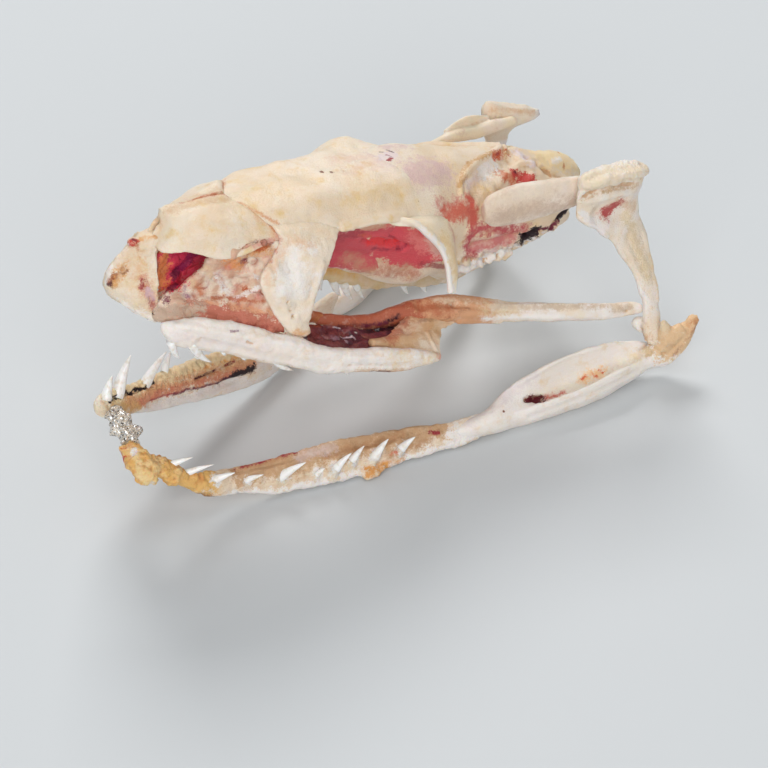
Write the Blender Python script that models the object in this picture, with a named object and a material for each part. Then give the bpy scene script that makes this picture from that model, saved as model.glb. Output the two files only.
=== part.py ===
"""Snake skull with the jaws open: the separate bones of a dried, prepared skull.

Lengths below are in hundredths of the skull's length, and UNIT turns them into metres.
The cranium is drawn in its own frame: x runs back from the snout tip, y to the animal's
right, z up from the snout tip's level.  The lower jaw lies on the ground: x runs back,
y to the right and z up from the ground.  Bones of a pair are drawn by their distance
outward from the midline, and a side of -1 is the left one, 1 the right one.
"""
from math import cos, pi, radians, sin

import bmesh
import bpy
from mathutils import Vector

SKULL_LENGTH = 0.070
UNIT = SKULL_LENGTH / 100
CRANIUM_PITCH = 15.0
SNOUT_TIP = (3.7, 0.0, 44.5)
GROUND_CENTRE = (52.5, -0.6, 0.0)
LEFT = -1
RIGHT = 1

BONE = (0.86, 0.76, 0.60)
PALE_BONE = (0.92, 0.86, 0.76)
TAN_BONE = (0.80, 0.62, 0.38)
TOOTH_SIDES = 5


def clear_scene():
    for leftover in list(bpy.data.objects):
        bpy.data.objects.remove(leftover, do_unlink=True)


def add_frame(name, location, pitch=0.0):
    """An empty that carries bones drawn in units."""
    frame = bpy.data.objects.new(name, None)
    frame.location = [UNIT * c for c in location]
    frame.rotation_euler = (0.0, radians(pitch), 0.0)
    bpy.context.collection.objects.link(frame)
    return frame


def outward(stations, side):
    """Stations of a paired bone, given by distance outward, placed on one side."""
    return [(s[0], side * s[1], *s[2:]) for s in stations]


def sweep(stations, sides=8):
    """Closed skin over oval sections: x, y, z, half width, half height and a lean in degrees.

    A section stands square to the run of its neighbours.  Its width lies level, and the lean
    turns it about the run.
    """
    mesh = bmesh.new()
    centres = [Vector(s[:3]) for s in stations]
    rings = []
    for index, station in enumerate(stations):
        ahead = centres[min(index + 1, len(centres) - 1)]
        behind = centres[max(index - 1, 0)]
        run = (ahead - behind).normalized()
        level = Vector((0, 0, 1)) if abs(run.z) < 0.8 else Vector((1, 0, 0))
        across = run.cross(level).normalized()
        upward = across.cross(run).normalized()
        lean = radians(station[5]) if len(station) > 5 else 0.0
        wide = across * cos(lean) + upward * sin(lean)
        high = upward * cos(lean) - across * sin(lean)
        ring = []
        for step in range(sides):
            turn = 2 * pi * (step + 0.5) / sides
            offset = wide * station[3] * cos(turn) + high * station[4] * sin(turn)
            ring.append(mesh.verts.new(centres[index] + offset))
        rings.append(ring)
    for first, second in zip(rings, rings[1:]):
        for step in range(sides):
            after = (step + 1) % sides
            mesh.faces.new((first[step], first[after], second[after], second[step]))
    mesh.faces.new(rings[0])
    mesh.faces.new(rings[-1])
    return mesh


def band(rows, sides=8):
    """Closed skin over oval sections that stand square to x.

    Each row has x, then y and z of the lower edge, y and z of the upper edge, and half the
    thickness.
    """
    rings = []
    for x, low_y, low_z, high_y, high_z, thick in rows:
        centre = Vector((x, (low_y + high_y) / 2, (low_z + high_z) / 2))
        along = Vector((0.0, high_y - low_y, high_z - low_z)) / 2
        through = Vector((0.0, -along.z, along.y)).normalized() * thick
        ring = []
        for step in range(sides):
            turn = 2 * pi * (step + 0.5) / sides
            ring.append(centre + along * cos(turn) + through * sin(turn))
        rings.append(ring)
    return solid_of_rings(rings)


def solid_of_rings(rings):
    """Closed skin over rings of points that all have the same count."""
    mesh = bmesh.new()
    rows = [[mesh.verts.new(point) for point in ring] for ring in rings]
    count = len(rows[0])
    for first, second in zip(rows, rows[1:]):
        for step in range(count):
            after = (step + 1) % count
            mesh.faces.new((first[step], first[after], second[after], second[step]))
    mesh.faces.new(rows[0])
    mesh.faces.new(rows[-1])
    return mesh


def plate(rows, thickness):
    """Closed plate of even thickness, laid inward from rows of points on its outer face."""
    outer = [[Vector(point) for point in row] for row in rows]
    middle = sum((p for row in outer for p in row), Vector()) / sum(len(row) for row in outer)
    inner_way = Vector((middle.x, 0.0, middle.z - 6.0))
    mesh = bmesh.new()
    faces = []
    for grid in (outer, None):
        layer = []
        for i, row in enumerate(outer):
            line = []
            for j, point in enumerate(row):
                if grid is None:
                    along = outer[min(i + 1, len(outer) - 1)][j] - outer[max(i - 1, 0)][j]
                    across = row[min(j + 1, len(row) - 1)] - row[max(j - 1, 0)]
                    normal = along.cross(across).normalized()
                    if normal.dot(inner_way - point) < 0:
                        normal.negate()
                    point = point + normal * thickness
                line.append(mesh.verts.new(point))
            layer.append(line)
        faces.append(layer)
    for layer in faces:
        for first, second in zip(layer, layer[1:]):
            for j in range(len(first) - 1):
                mesh.faces.new((first[j], first[j + 1], second[j + 1], second[j]))
    top, bottom = faces
    last_row = len(top) - 1
    last = len(top[0]) - 1
    for j in range(last):
        mesh.faces.new((top[0][j], top[0][j + 1], bottom[0][j + 1], bottom[0][j]))
        near = top[last_row]
        under = bottom[last_row]
        mesh.faces.new((near[j], near[j + 1], under[j + 1], under[j]))
    for i in range(last_row):
        mesh.faces.new((top[i][0], top[i + 1][0], bottom[i + 1][0], bottom[i][0]))
        mesh.faces.new((top[i][last], top[i + 1][last], bottom[i + 1][last], bottom[i][last]))
    return mesh


def tooth(base, tip, radius, hook):
    """A cone that leaves the jaw steeply and hooks over toward its tip."""
    foot = Vector(base)
    point = Vector(tip)
    run = point - foot
    bulge = Vector(hook) * run.length
    mesh = bmesh.new()
    across = run.cross(bulge).normalized()
    upward = across.cross(run).normalized()
    rings = []
    for share, size in ((-0.12, 1.0), (0.33, 0.72), (0.70, 0.42)):
        centre = foot + run * share + bulge * max(share, 0.0) * (1 - share)
        ring = []
        for step in range(TOOTH_SIDES):
            turn = 2 * pi * step / TOOTH_SIDES
            offset = across * cos(turn) + upward * sin(turn)
            ring.append(mesh.verts.new(centre + offset * radius * size))
        rings.append(ring)
    end = mesh.verts.new(point)
    for first, second in zip(rings, rings[1:]):
        for step in range(TOOTH_SIDES):
            after = (step + 1) % TOOTH_SIDES
            mesh.faces.new((first[step], first[after], second[after], second[step]))
    for step in range(TOOTH_SIDES):
        mesh.faces.new((rings[-1][step], rings[-1][(step + 1) % TOOTH_SIDES], end))
    mesh.faces.new(rings[0])
    return mesh


def to_object(name, mesh, frame):
    """Put a drawn mesh, in units, into an object in metres under its frame."""
    bmesh.ops.recalc_face_normals(mesh, faces=mesh.faces[:])
    bmesh.ops.scale(mesh, vec=(UNIT, UNIT, UNIT), verts=mesh.verts[:])
    data = bpy.data.meshes.new(name)
    mesh.to_mesh(data)
    mesh.free()
    piece = bpy.data.objects.new(name, data)
    piece.parent = frame
    bpy.context.collection.objects.link(piece)
    return piece


def joined(meshes):
    """Separate closed shapes in one mesh."""
    whole = bmesh.new()
    for part in meshes:
        data = bpy.data.meshes.new("part")
        bmesh.ops.recalc_face_normals(part, faces=part.faces[:])
        part.to_mesh(data)
        part.free()
        whole.from_mesh(data)
        bpy.data.meshes.remove(data)
    return whole


def settle(piece):
    """Turn an object's modifiers into its mesh."""
    bpy.context.view_layer.update()
    shaped = piece.evaluated_get(bpy.context.evaluated_depsgraph_get())
    data = bpy.data.meshes.new_from_object(shaped)
    piece.modifiers.clear()
    piece.data = data


def fuse(piece, meshes, frame):
    """Grow further closed shapes into a bone."""
    for mesh in meshes:
        extra = to_object("graft", mesh, frame)
        union = piece.modifiers.new("graft", "BOOLEAN")
        union.operation = "UNION"
        union.solver = "EXACT"
        union.object = extra
        settle(piece)
        bpy.data.objects.remove(extra, do_unlink=True)


def hollow(piece, mesh, frame):
    """Cut a drawn shape out of a bone."""
    cutter = to_object("hollow", mesh, frame)
    cut = piece.modifiers.new("hollow", "BOOLEAN")
    cut.operation = "DIFFERENCE"
    cut.solver = "EXACT"
    cut.object = cutter
    settle(piece)
    bpy.data.objects.remove(cutter, do_unlink=True)


def finish_bone(piece, colour, roughness=0.55):
    """Give a bone its own material and soft shading."""
    material = bpy.data.materials.new(piece.name + "_surface")
    material.use_nodes = True
    shader = material.node_tree.nodes["Principled BSDF"]
    shader.inputs["Base Color"].default_value = (*colour, 1.0)
    shader.inputs["Roughness"].default_value = roughness
    shader.inputs["Metallic"].default_value = 0.0
    piece.data.materials.clear()
    piece.data.materials.append(material)
    piece.data.set_sharp_from_angle(angle=radians(40))


def named(side):
    return "left" if side == LEFT else "right"


def teeth_down(rows, side):
    """Upper jaw teeth: x, outward and z of the root, then length; they hang and hook back."""
    cones = []
    for x, out, z, length in rows:
        base = (x, side * out, z)
        tip = (x + 0.62 * length, side * (out - 0.10 * length), z - 0.78 * length)
        cones.append(tooth(base, tip, 0.20 * length ** 0.6 + 0.28, (-0.25, 0.0, -0.18)))
    return joined(cones)


def make_premaxilla(cranium):
    """Solid wedge at the snout's tip, drawn in upright slices from the midline outward."""
    slices = [
        [(0.9, 0.0, -1.8), (0.0, 0.0, 1.2), (0.5, 0.0, 4.6),
         (3.5, 0.0, 7.8), (6.8, 0.0, 8.2), (3.6, 0.0, -2.8)],
        [(2.3, 2.4, -2.4), (1.4, 2.2, 0.8), (1.9, 1.8, 4.8),
         (4.2, 1.2, 7.6), (6.6, 0.8, 7.4), (4.8, 1.8, -3.2)],
        [(4.6, 4.5, -3.5), (3.7, 4.2, -0.4), (3.9, 3.4, 4.6),
         (5.2, 2.3, 7.5), (6.8, 1.6, 6.8), (6.2, 3.2, -4.0)],
        [(7.1, 6.0, -4.5), (6.8, 5.6, -1.4), (6.5, 4.6, 4.0),
         (6.4, 3.2, 7.0), (7.2, 2.4, 6.2), (7.8, 4.6, -4.6)],
    ]
    rings = [[(x, -out, z) for x, out, z in part] for part in reversed(slices[1:])] + slices
    palate_process = [
        (3.6, 0.0, -2.4, 1.6, 0.6),
        (6.5, 0.0, -3.0, 1.3, 0.6),
        (10.0, 0.0, -3.2, 0.9, 0.5),
    ]
    bone = to_object("premaxilla", solid_of_rings(rings), cranium)
    fuse(bone, [sweep(palate_process, 6)], cranium)
    finish_bone(bone, PALE_BONE, 0.40)


def make_nasal(cranium, side):
    """Domed roof over the nose, with the upright wall that meets its twin on the midline."""
    roof = [
        [(7.6, 0.32, 12.7), (7.2, 1.8, 12.3), (6.9, 3.2, 10.4), (6.6, 4.1, 7.6)],
        [(10.6, 0.32, 13.3), (10.4, 2.6, 13.0), (10.4, 4.8, 10.9), (10.8, 5.9, 7.9)],
        [(14.0, 0.32, 13.7), (14.0, 3.0, 13.5), (14.2, 6.0, 11.3), (14.2, 7.4, 6.4)],
        [(17.0, 0.32, 13.9), (17.6, 3.4, 13.5), (18.0, 6.6, 11.5), (18.2, 8.5, 7.2)],
        [(19.4, 0.32, 14.0), (20.7, 3.3, 13.4), (22.2, 6.5, 11.8), (22.6, 8.9, 8.8)],
        [(20.0, 0.32, 14.0), (21.8, 3.4, 13.3), (24.0, 6.4, 11.9), (25.7, 8.8, 10.0)],
    ]
    roof = [[(x, side * out, z) for x, out, z in row] for row in roof]
    wall = [
        (8.4, 0.75, 10.6, 0.42, 1.4),
        (10.0, 0.75, 8.6, 0.42, 4.2),
        (14.0, 0.75, 8.6, 0.42, 4.6),
        (18.6, 0.75, 10.6, 0.42, 2.6),
    ]
    bone = to_object("nasal_" + named(side), plate(roof, 0.85), cranium)
    fuse(bone, [sweep(outward(wall, side), 6)], cranium)
    finish_bone(bone, BONE)


def make_inner_nose(cranium, side):
    """Bones of the nose floor, with the crumpled dried sheet that stands on them."""
    floor = [
        (8.6, 2.9, -1.4, 1.0, 0.6),
        (11.5, 3.9, -1.2, 2.0, 0.9),
        (15.5, 5.0, -1.2, 3.0, 1.0),
        (20.0, 5.2, -1.4, 3.2, 0.9),
        (24.0, 3.2, -1.4, 1.2, 0.7),
    ]
    sheet = [
        (9.2, 4.2, 0.2, 0.5, 1.6),
        (12.0, 5.4, 0.8, 0.8, 2.6),
        (15.5, 7.0, 0.9, 1.1, 3.2),
        (19.5, 8.4, 1.6, 1.2, 3.8),
        (22.0, 9.2, 1.8, 0.7, 2.6),
    ]
    bone = to_object("vomer_" + named(side), sweep(outward(floor, side), 6), cranium)
    fuse(bone, [sweep(outward(sheet, side), 8)], cranium)
    finish_bone(bone, TAN_BONE, 0.7)


def make_prefrontal(cranium, side):
    """Plate in front of the eye, which narrows to a foot over the upper jaw bone."""
    rows = [
        [(26.5, 8.9, 10.2), (29.8, 9.6, 10.0), (33.2, 10.1, 9.6), (36.0, 10.5, 8.8)],
        [(24.4, 9.9, 7.4), (28.4, 11.1, 7.6), (32.0, 11.8, 7.2), (35.0, 11.8, 6.4)],
        [(21.9, 11.2, 3.8), (26.0, 12.5, 3.6), (30.0, 13.1, 3.2), (33.4, 13.0, 3.0)],
        [(24.2, 12.4, -1.1), (27.0, 13.3, -1.2), (30.0, 13.6, -1.2), (32.3, 13.4, -0.9)],
        [(26.6, 13.8, -4.2), (28.4, 14.2, -4.3), (30.2, 14.3, -4.4), (31.8, 14.1, -4.4)],
        [(28.2, 14.4, -5.4), (29.5, 14.7, -5.5), (30.8, 14.8, -5.6), (31.9, 14.7, -5.6)],
    ]
    rows = [[(x, side * out, z) for x, out, z in row] for row in rows]
    bone = to_object("prefrontal_" + named(side), plate(rows, 0.9), cranium)
    finish_bone(bone, PALE_BONE)


def pillar_plate(stations, side):
    """An upright plate from its level slices.

    Each has its centre, half its thickness, half its breadth along x, and how far its rear
    edge stands above its middle.
    """
    rings = []
    for x, out, z, thick, broad, rise in stations:
        ring = []
        for step in range(8):
            turn = 2 * pi * (step + 0.5) / 8
            ring.append((x + broad * cos(turn), side * (out + thick * sin(turn)), z + rise * cos(turn)))
        rings.append(ring)
    return solid_of_rings(rings)


def roof_ring(x, rake, top, table, eave, under, wall, base, side):
    """Half section of the brow bone: flat table, sloping brow, overhanging eave, inner wall.

    The rake sets each point back by its distance outward.
    """
    inner = 0.24
    points = [
        (inner, top),
        table,
        eave,
        under,
        wall,
        (wall[0] - 0.8, base + 1.2),
        (inner, base),
    ]
    return [(x + rake * out, side * out, z) for out, z in points]


def make_frontal(cranium, side):
    rings = [
        roof_ring(20.7, 0.60, 13.9, (3.0, 13.4), (6.2, 11.8), (5.8, 10.6), (2.4, 8.0), 5.2, side),
        roof_ring(26.4, 0.05, 14.7, (4.0, 14.0), (7.4, 11.5), (6.6, 10.3), (3.0, 6.0), 2.0, side),
        roof_ring(31.0, 0.0, 15.3, (4.6, 14.7), (8.3, 11.2), (7.3, 10.0), (3.6, 4.5), -0.4, side),
        roof_ring(35.5, 0.0, 15.8, (4.8, 15.2), (9.0, 10.9), (7.9, 9.9), (4.0, 3.5), -2.0, side),
        roof_ring(38.0, 0.0, 16.0, (4.8, 15.4), (9.9, 10.0), (8.6, 9.2), (4.2, 3.0), -3.0, side),
        roof_ring(44.0, 0.0, 16.3, (5.0, 15.6), (10.2, 10.8), (8.8, 9.7), (4.4, 2.0), -4.4, side),
        roof_ring(51.5, 0.0, 16.5, (5.2, 15.7), (9.9, 10.6), (8.8, 9.4), (4.8, 1.0), -5.8, side),
    ]
    bone = to_object("frontal_" + named(side), solid_of_rings(rings), cranium)
    finish_bone(bone, BONE)


def braincase_ring(x, half):
    """Full section of the braincase from its right half: distance outward and height."""
    right = [(x, out, z) for out, z in half]
    left = [(x, -out, z) for out, z in reversed(half[1:-1])]
    return right + left


def make_braincase(cranium):
    """Parietal, ear and occipital bones, grown together in one box round the brain."""
    sections = {
        52.1: [(0, 16.5), (5.2, 15.6), (9.6, 10.6), (8.2, 7.6),
               (5.4, 1.4), (3.4, -5.2), (0, -6.2)],
        56.0: [(0, 16.5), (5.2, 15.5), (9.8, 10.2), (9.0, 6.0),
               (5.8, 0.4), (3.6, -5.8), (0, -6.8)],
        60.0: [(0, 16.2), (4.9, 15.1), (9.8, 9.4), (9.8, 5.0),
               (6.6, -1.0), (4.2, -6.2), (0, -7.2)],
        64.0: [(0, 15.9), (4.4, 14.9), (8.8, 10.4), (9.6, 4.8),
               (7.8, -1.8), (4.8, -6.2), (0, -7.4)],
        70.0: [(0, 15.8), (3.6, 14.9), (7.4, 11.0), (9.0, 5.0),
               (8.4, -1.6), (5.0, -6.0), (0, -7.2)],
        77.0: [(0, 15.8), (2.6, 14.4), (6.8, 10.8), (8.8, 5.2),
               (8.6, -1.0), (5.2, -5.4), (0, -6.8)],
        84.0: [(0, 14.2), (3.2, 12.9), (7.6, 9.8), (9.2, 5.0),
               (8.4, -0.6), (4.8, -4.8), (0, -6.0)],
        90.0: [(0, 12.2), (4.0, 11.0), (7.6, 8.0), (7.8, 4.0),
               (6.2, -0.2), (3.4, -3.6), (0, -4.6)],
        93.0: [(0, 10.8), (3.0, 9.8), (5.2, 7.0), (5.4, 3.4),
               (4.2, 0.4), (2.4, -2.6), (0, -3.4)],
    }
    rings = [braincase_ring(x, half) for x, half in sections.items()]
    neck_roof = [
        (86.5, 0.0, 11.3, 2.8, 2.0),
        (90.0, 0.0, 10.6, 3.2, 2.5),
        (93.6, 0.0, 9.6, 2.9, 2.3),
        (96.4, 0.0, 8.6, 1.6, 1.4),
    ]
    condyle = [
        (91.0, 0.0, -0.6, 1.8, 1.8),
        (94.0, 0.0, -0.6, 2.2, 2.0),
        (96.4, 0.0, -0.4, 1.6, 1.4),
        (97.2, 0.0, -0.3, 0.7, 0.6),
    ]
    neck_hole = [
        (84.0, 0.0, 3.6, 1.4, 1.2),
        (90.0, 0.0, 4.0, 2.4, 2.2),
        (99.0, 0.0, 4.4, 2.8, 2.5),
    ]
    bone = to_object("braincase", solid_of_rings(rings), cranium)
    fuse(bone, [sweep(neck_roof), sweep(condyle)], cranium)
    hollow(bone, sweep(neck_hole), cranium)
    ear_hole = [
        (83.0, 6.6, 0.8, 1.0, 1.2),
        (84.0, 9.4, 0.2, 1.3, 1.5),
        (85.0, 12.0, -0.2, 1.4, 1.6),
    ]
    nerve_hole = [
        (53.0, 2.6, -0.6, 1.0, 0.9),
        (51.0, 5.4, -0.4, 1.6, 1.2),
        (49.0, 9.0, -0.2, 2.0, 1.5),
    ]
    for side in (LEFT, RIGHT):
        hollow(bone, sweep(outward(ear_hole, side), 6), cranium)
        hollow(bone, sweep(outward(nerve_hole, side), 6), cranium)
    finish_bone(bone, BONE)


def make_postorbital(cranium, side, lift):
    """Curved strut behind the eye, from the brow down to a free tip."""
    strut = [
        (47.8, 10.9, 11.6 + lift, 0.5, 0.5),
        (51.5, 11.3, 10.9 + lift, 0.9, 0.9),
        (55.2, 11.9, 9.1 + lift, 1.2, 1.3),
        (58.6, 12.4, 5.6 + lift, 1.1, 1.7),
        (60.6, 13.4, 2.2 + lift, 0.9, 1.5),
        (61.2, 14.4, -0.8 + lift, 0.7, 1.1),
        (60.8, 15.2, -2.8 + lift, 0.5, 0.7),
    ]
    bone = to_object("postorbital_" + named(side), sweep(outward(strut, side)), cranium)
    finish_bone(bone, PALE_BONE)


def make_maxilla(cranium, side):
    """Upper jaw bone with its row of hooked teeth."""
    beam = [
        (5.8, 7.9, -3.6, 0.7, 0.9),
        (7.4, 8.6, -4.6, 1.3, 2.1),
        (12.0, 10.4, -4.9, 1.5, 2.9),
        (17.5, 12.0, -5.8, 1.6, 3.0),
        (23.4, 14.0, -7.2, 1.7, 2.8),
        (29.0, 15.6, -8.5, 1.6, 2.6),
        (35.0, 17.0, -10.2, 1.5, 2.4),
        (41.0, 18.0, -10.5, 1.5, 2.2),
        (48.0, 19.0, -11.1, 1.4, 2.2),
        (52.6, 19.4, -11.5, 1.1, 1.6),
        (56.6, 19.6, -11.8, 0.5, 0.7),
    ]
    inner_shelf = [
        (22.4, 12.8, -6.6, 1.0, 0.7),
        (25.6, 11.0, -6.8, 2.0, 0.6),
        (28.4, 13.6, -7.6, 1.0, 0.7),
    ]
    roots = [
        (8.0, 8.6, -6.2, 2.8),
        (10.6, 9.7, -7.1, 1.4),
        (13.2, 10.7, -7.4, 3.2),
        (16.6, 11.7, -8.2, 1.5),
        (20.2, 12.9, -9.0, 1.4),
        (23.8, 14.0, -9.6, 1.4),
        (26.6, 14.7, -10.2, 3.4),
        (31.0, 15.9, -11.0, 1.3),
        (35.0, 16.9, -12.1, 1.4),
        (38.6, 17.5, -12.2, 1.8),
        (42.6, 18.2, -12.4, 1.5),
        (46.6, 18.8, -12.8, 1.2),
    ]
    bone = to_object("maxilla_" + named(side), sweep(outward(beam, side)), cranium)
    fuse(bone, [sweep(outward(inner_shelf, side), 6), teeth_down(roots, side)], cranium)
    finish_bone(bone, PALE_BONE, 0.45)


def make_palatine(cranium, side):
    """Front part of the inner row of teeth.  The right one has dropped toward the midline."""
    left_beam = [
        (15.0, 5.6, -4.6, 0.7, 0.8),
        (20.0, 6.2, -5.2, 1.1, 1.2),
        (27.0, 6.8, -6.2, 1.2, 1.4),
        (33.0, 7.4, -7.0, 1.1, 1.4),
        (37.6, 8.0, -7.7, 0.9, 1.1),
    ]
    right_beam = [
        (15.0, 3.2, -4.8, 0.7, 0.8),
        (20.0, 3.3, -5.5, 1.1, 1.2),
        (27.0, 3.8, -6.6, 1.2, 1.4),
        (33.0, 4.2, -7.6, 1.1, 1.4),
        (37.6, 4.5, -8.2, 0.9, 1.1),
    ]
    left_roots = [
        (18.0, 6.0, -6.0, 1.8),
        (22.4, 6.4, -6.6, 2.0),
        (27.0, 6.8, -7.3, 2.0),
        (31.6, 7.2, -8.0, 1.9),
        (35.6, 7.7, -8.3, 1.7),
    ]
    right_roots = [
        (18.0, 3.2, -6.1, 1.8),
        (22.4, 3.5, -6.9, 2.0),
        (27.0, 3.8, -7.7, 2.0),
        (31.6, 4.1, -8.6, 1.9),
        (35.6, 4.3, -8.9, 1.7),
    ]
    beam = left_beam if side == LEFT else right_beam
    roots = left_roots if side == LEFT else right_roots
    bone = to_object("palatine_" + named(side), sweep(outward(beam, side), 6), cranium)
    fuse(bone, [teeth_down(roots, side)], cranium)
    finish_bone(bone, BONE)


def make_left_pterygoid(cranium):
    """Inner jaw bone: toothed in front, a broad plate, then a long rod back to the quadrate."""
    beam = [
        (39.0, 8.2, -8.1, 0.9, 1.0),
        (47.0, 9.6, -9.4, 1.3, 1.4),
        (52.0, 10.2, -8.9, 1.6, 1.7),
        (57.0, 10.8, -8.2, 2.1, 2.0),
        (62.0, 11.8, -7.7, 2.6, 2.2),
        (67.0, 13.2, -7.8, 2.6, 2.0),
        (73.0, 15.0, -8.2, 2.0, 1.6),
        (79.0, 16.8, -8.3, 1.6, 1.45),
        (86.0, 18.8, -8.3, 1.35, 1.4),
        (92.0, 20.2, -8.4, 1.3, 1.25),
        (97.4, 20.8, -8.3, 1.0, 1.0),
    ]
    roots = [
        (41.6, 8.7, -9.3, 1.6),
        (46.0, 9.4, -10.4, 1.6),
        (50.6, 9.9, -10.2, 1.5),
        (55.2, 10.5, -9.9, 1.4),
        (59.8, 11.3, -9.6, 1.3),
    ]
    bone = to_object("pterygoid_left", sweep(outward(beam, LEFT)), cranium)
    fuse(bone, [teeth_down(roots, LEFT)], cranium)
    finish_bone(bone, TAN_BONE)


def make_right_pterygoid(cranium):
    """The right inner jaw bone, dropped below the braincase."""
    beam = [
        (39.2, 4.6, -8.3, 0.9, 1.1),
        (48.0, 4.8, -9.2, 1.1, 1.5),
        (56.0, 5.2, -12.0, 1.2, 1.5),
        (64.0, 5.6, -14.4, 1.2, 1.5),
        (70.0, 6.2, -14.6, 1.6, 2.2),
        (78.0, 7.6, -16.6, 1.6, 1.9),
        (84.0, 9.6, -17.6, 1.4, 1.5),
        (90.0, 13.0, -17.2, 1.2, 1.3),
        (95.0, 17.2, -15.6, 1.1, 1.1),
        (98.0, 20.4, -14.2, 0.9, 0.9),
    ]
    roots = [
        (42.0, 4.7, -9.4, 2.0),
        (45.8, 4.7, -10.1, 2.2),
        (49.8, 4.8, -11.0, 2.2),
        (54.0, 5.0, -12.5, 2.3),
        (70.6, 6.2, -16.2, 1.7),
        (75.4, 7.0, -17.2, 1.7),
    ]
    bone = to_object("pterygoid_right", sweep(outward(beam, RIGHT)), cranium)
    fuse(bone, [teeth_down(roots, RIGHT)], cranium)
    finish_bone(bone, BONE)


def make_ectopterygoid(cranium, side, inner_end):
    """Strut that braces the upper jaw bone against the inner one."""
    strut = [
        (44.0, 16.0, -9.0, 0.8, 0.5),
        (48.0, 16.0, -9.4, 1.5, 1.0),
        (52.5, 15.6, -9.8, 1.8, 1.7),
        (56.6, 15.2, -9.9, 1.6, 1.8),
        inner_end,
    ]
    bone = to_object("ectopterygoid_" + named(side), sweep(outward(strut, side)), cranium)
    finish_bone(bone, TAN_BONE)


def make_supratemporal(cranium, side):
    left_blade = [
        (66.4, 11.0, 9.8, 1.0, 2.1),
        (68.2, 11.2, 10.2, 1.9, 3.2),
        (73.0, 11.3, 10.9, 2.2, 3.6),
        (79.0, 12.0, 11.6, 2.0, 3.5),
        (84.5, 12.5, 12.2, 1.3, 3.1),
        (89.4, 12.4, 12.6, 1.0, 2.4),
    ]
    right_blade = [
        (73.0, 9.7, 12.4, 0.8, 1.0),
        (76.5, 10.3, 12.5, 1.4, 1.8),
        (81.0, 10.9, 12.3, 1.5, 2.1),
        (88.0, 11.3, 11.9, 1.1, 2.0),
        (94.4, 11.4, 11.5, 0.8, 1.6),
    ]
    blade = left_blade if side == LEFT else right_blade
    bone = to_object("supratemporal_" + named(side), sweep(outward(blade, side)), cranium)
    finish_bone(bone, PALE_BONE)


def make_quadrate(cranium, side):
    """Fan-shaped head, then a shaft down to the jaw joint."""
    left_fan = [
        (91.0, 15.2, 17.6, 0.8, 7.0, 1.0),
        (91.3, 15.3, 15.2, 1.4, 8.0, 0.8),
        (91.4, 15.6, 11.5, 1.3, 7.7, 0.0),
        (92.8, 16.4, 8.2, 1.2, 6.8, 0.0),
        (95.4, 17.4, 5.2, 1.2, 4.9, 0.0),
        (97.1, 18.6, 2.4, 1.2, 3.5, 0.0),
        (98.7, 20.2, -1.6, 1.2, 2.4, 0.0),
        (99.9, 22.2, -5.8, 1.3, 1.9, 0.0),
        (100.0, 24.3, -9.2, 1.4, 1.8, 0.0),
        (99.8, 25.7, -11.1, 1.9, 2.2, 0.0),
        (99.8, 26.2, -12.2, 1.5, 1.8, 0.0),
    ]
    right_fan = [
        (91.8, 14.6, 13.9, 0.8, 7.0, -1.5),
        (91.8, 14.7, 12.2, 1.3, 7.2, -1.4),
        (91.9, 15.0, 9.4, 1.2, 6.0, -0.8),
        (93.4, 16.2, 5.8, 1.2, 4.6, 0.0),
        (95.2, 18.0, 1.8, 1.2, 3.0, 0.0),
        (96.4, 19.8, -2.6, 1.2, 2.1, 0.0),
        (97.2, 21.6, -6.6, 1.3, 1.8, 0.0),
        (97.7, 23.6, -10.0, 1.4, 1.8, 0.0),
        (97.8, 25.0, -11.5, 1.8, 2.1, 0.0),
        (97.8, 25.3, -12.4, 1.4, 1.7, 0.0),
    ]
    fan = left_fan if side == LEFT else right_fan
    bone = to_object("quadrate_" + named(side), pillar_plate(fan, side), cranium)
    finish_bone(bone, PALE_BONE)


def teeth_up(rows):
    """Lower jaw teeth, each from its root to its tip."""
    cones = []
    for base, tip, radius in rows:
        cones.append(tooth(base, tip, radius, (-0.10, 0.0, 0.16)))
    return joined(cones)


def make_left_dentary(ground):
    """Rolled outward, so that its inner face looks up and its teeth point out."""
    beam = [
        (5.0, -10.0, 11.9, -8.8, 13.8, 1.0),
        (8.0, -12.0, 8.8, -10.3, 11.6, 1.3),
        (12.0, -13.5, 5.3, -11.6, 8.7, 1.4),
        (18.0, -13.8, 2.6, -11.9, 6.9, 1.5),
        (25.0, -16.0, 0.8, -12.9, 6.0, 1.5),
        (30.0, -17.4, 0.5, -13.7, 5.8, 1.5),
        (36.0, -19.3, 0.5, -14.4, 5.6, 1.5),
        (42.0, -20.6, 0.5, -15.8, 5.0, 1.5),
        (50.0, -21.8, 0.5, -18.2, 4.5, 1.4),
        (56.0, -23.2, 0.5, -20.3, 4.1, 1.2),
        (59.0, -23.9, 0.5, -21.2, 4.1, 1.1),
    ]
    rows = [
        ((7.0, -10.6, 12.0), (10.6, -12.5, 13.4), 0.6),
        ((9.4, -11.3, 9.4), (14.0, -13.4, 10.8), 0.6),
        ((13.8, -12.7, 6.6), (17.1, -14.7, 8.4), 0.6),
        ((19.4, -13.3, 4.2), (22.0, -15.7, 6.2), 0.6),
        ((25.7, -15.1, 3.1), (29.3, -17.5, 6.4), 0.7),
        ((31.6, -17.6, 2.6), (32.6, -18.6, 4.4), 0.6),
        ((34.7, -18.6, 2.7), (37.1, -19.6, 6.0), 0.6),
        ((38.0, -18.8, 3.0), (39.5, -19.9, 6.6), 0.6),
        ((42.1, -19.9, 3.0), (43.8, -20.8, 6.6), 0.6),
        ((46.7, -20.7, 2.8), (48.5, -22.0, 5.6), 0.6),
    ]
    bone = to_object("dentary_left", band(beam), ground)
    fuse(bone, [teeth_up(rows)], ground)
    finish_bone(bone, PALE_BONE)


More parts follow.
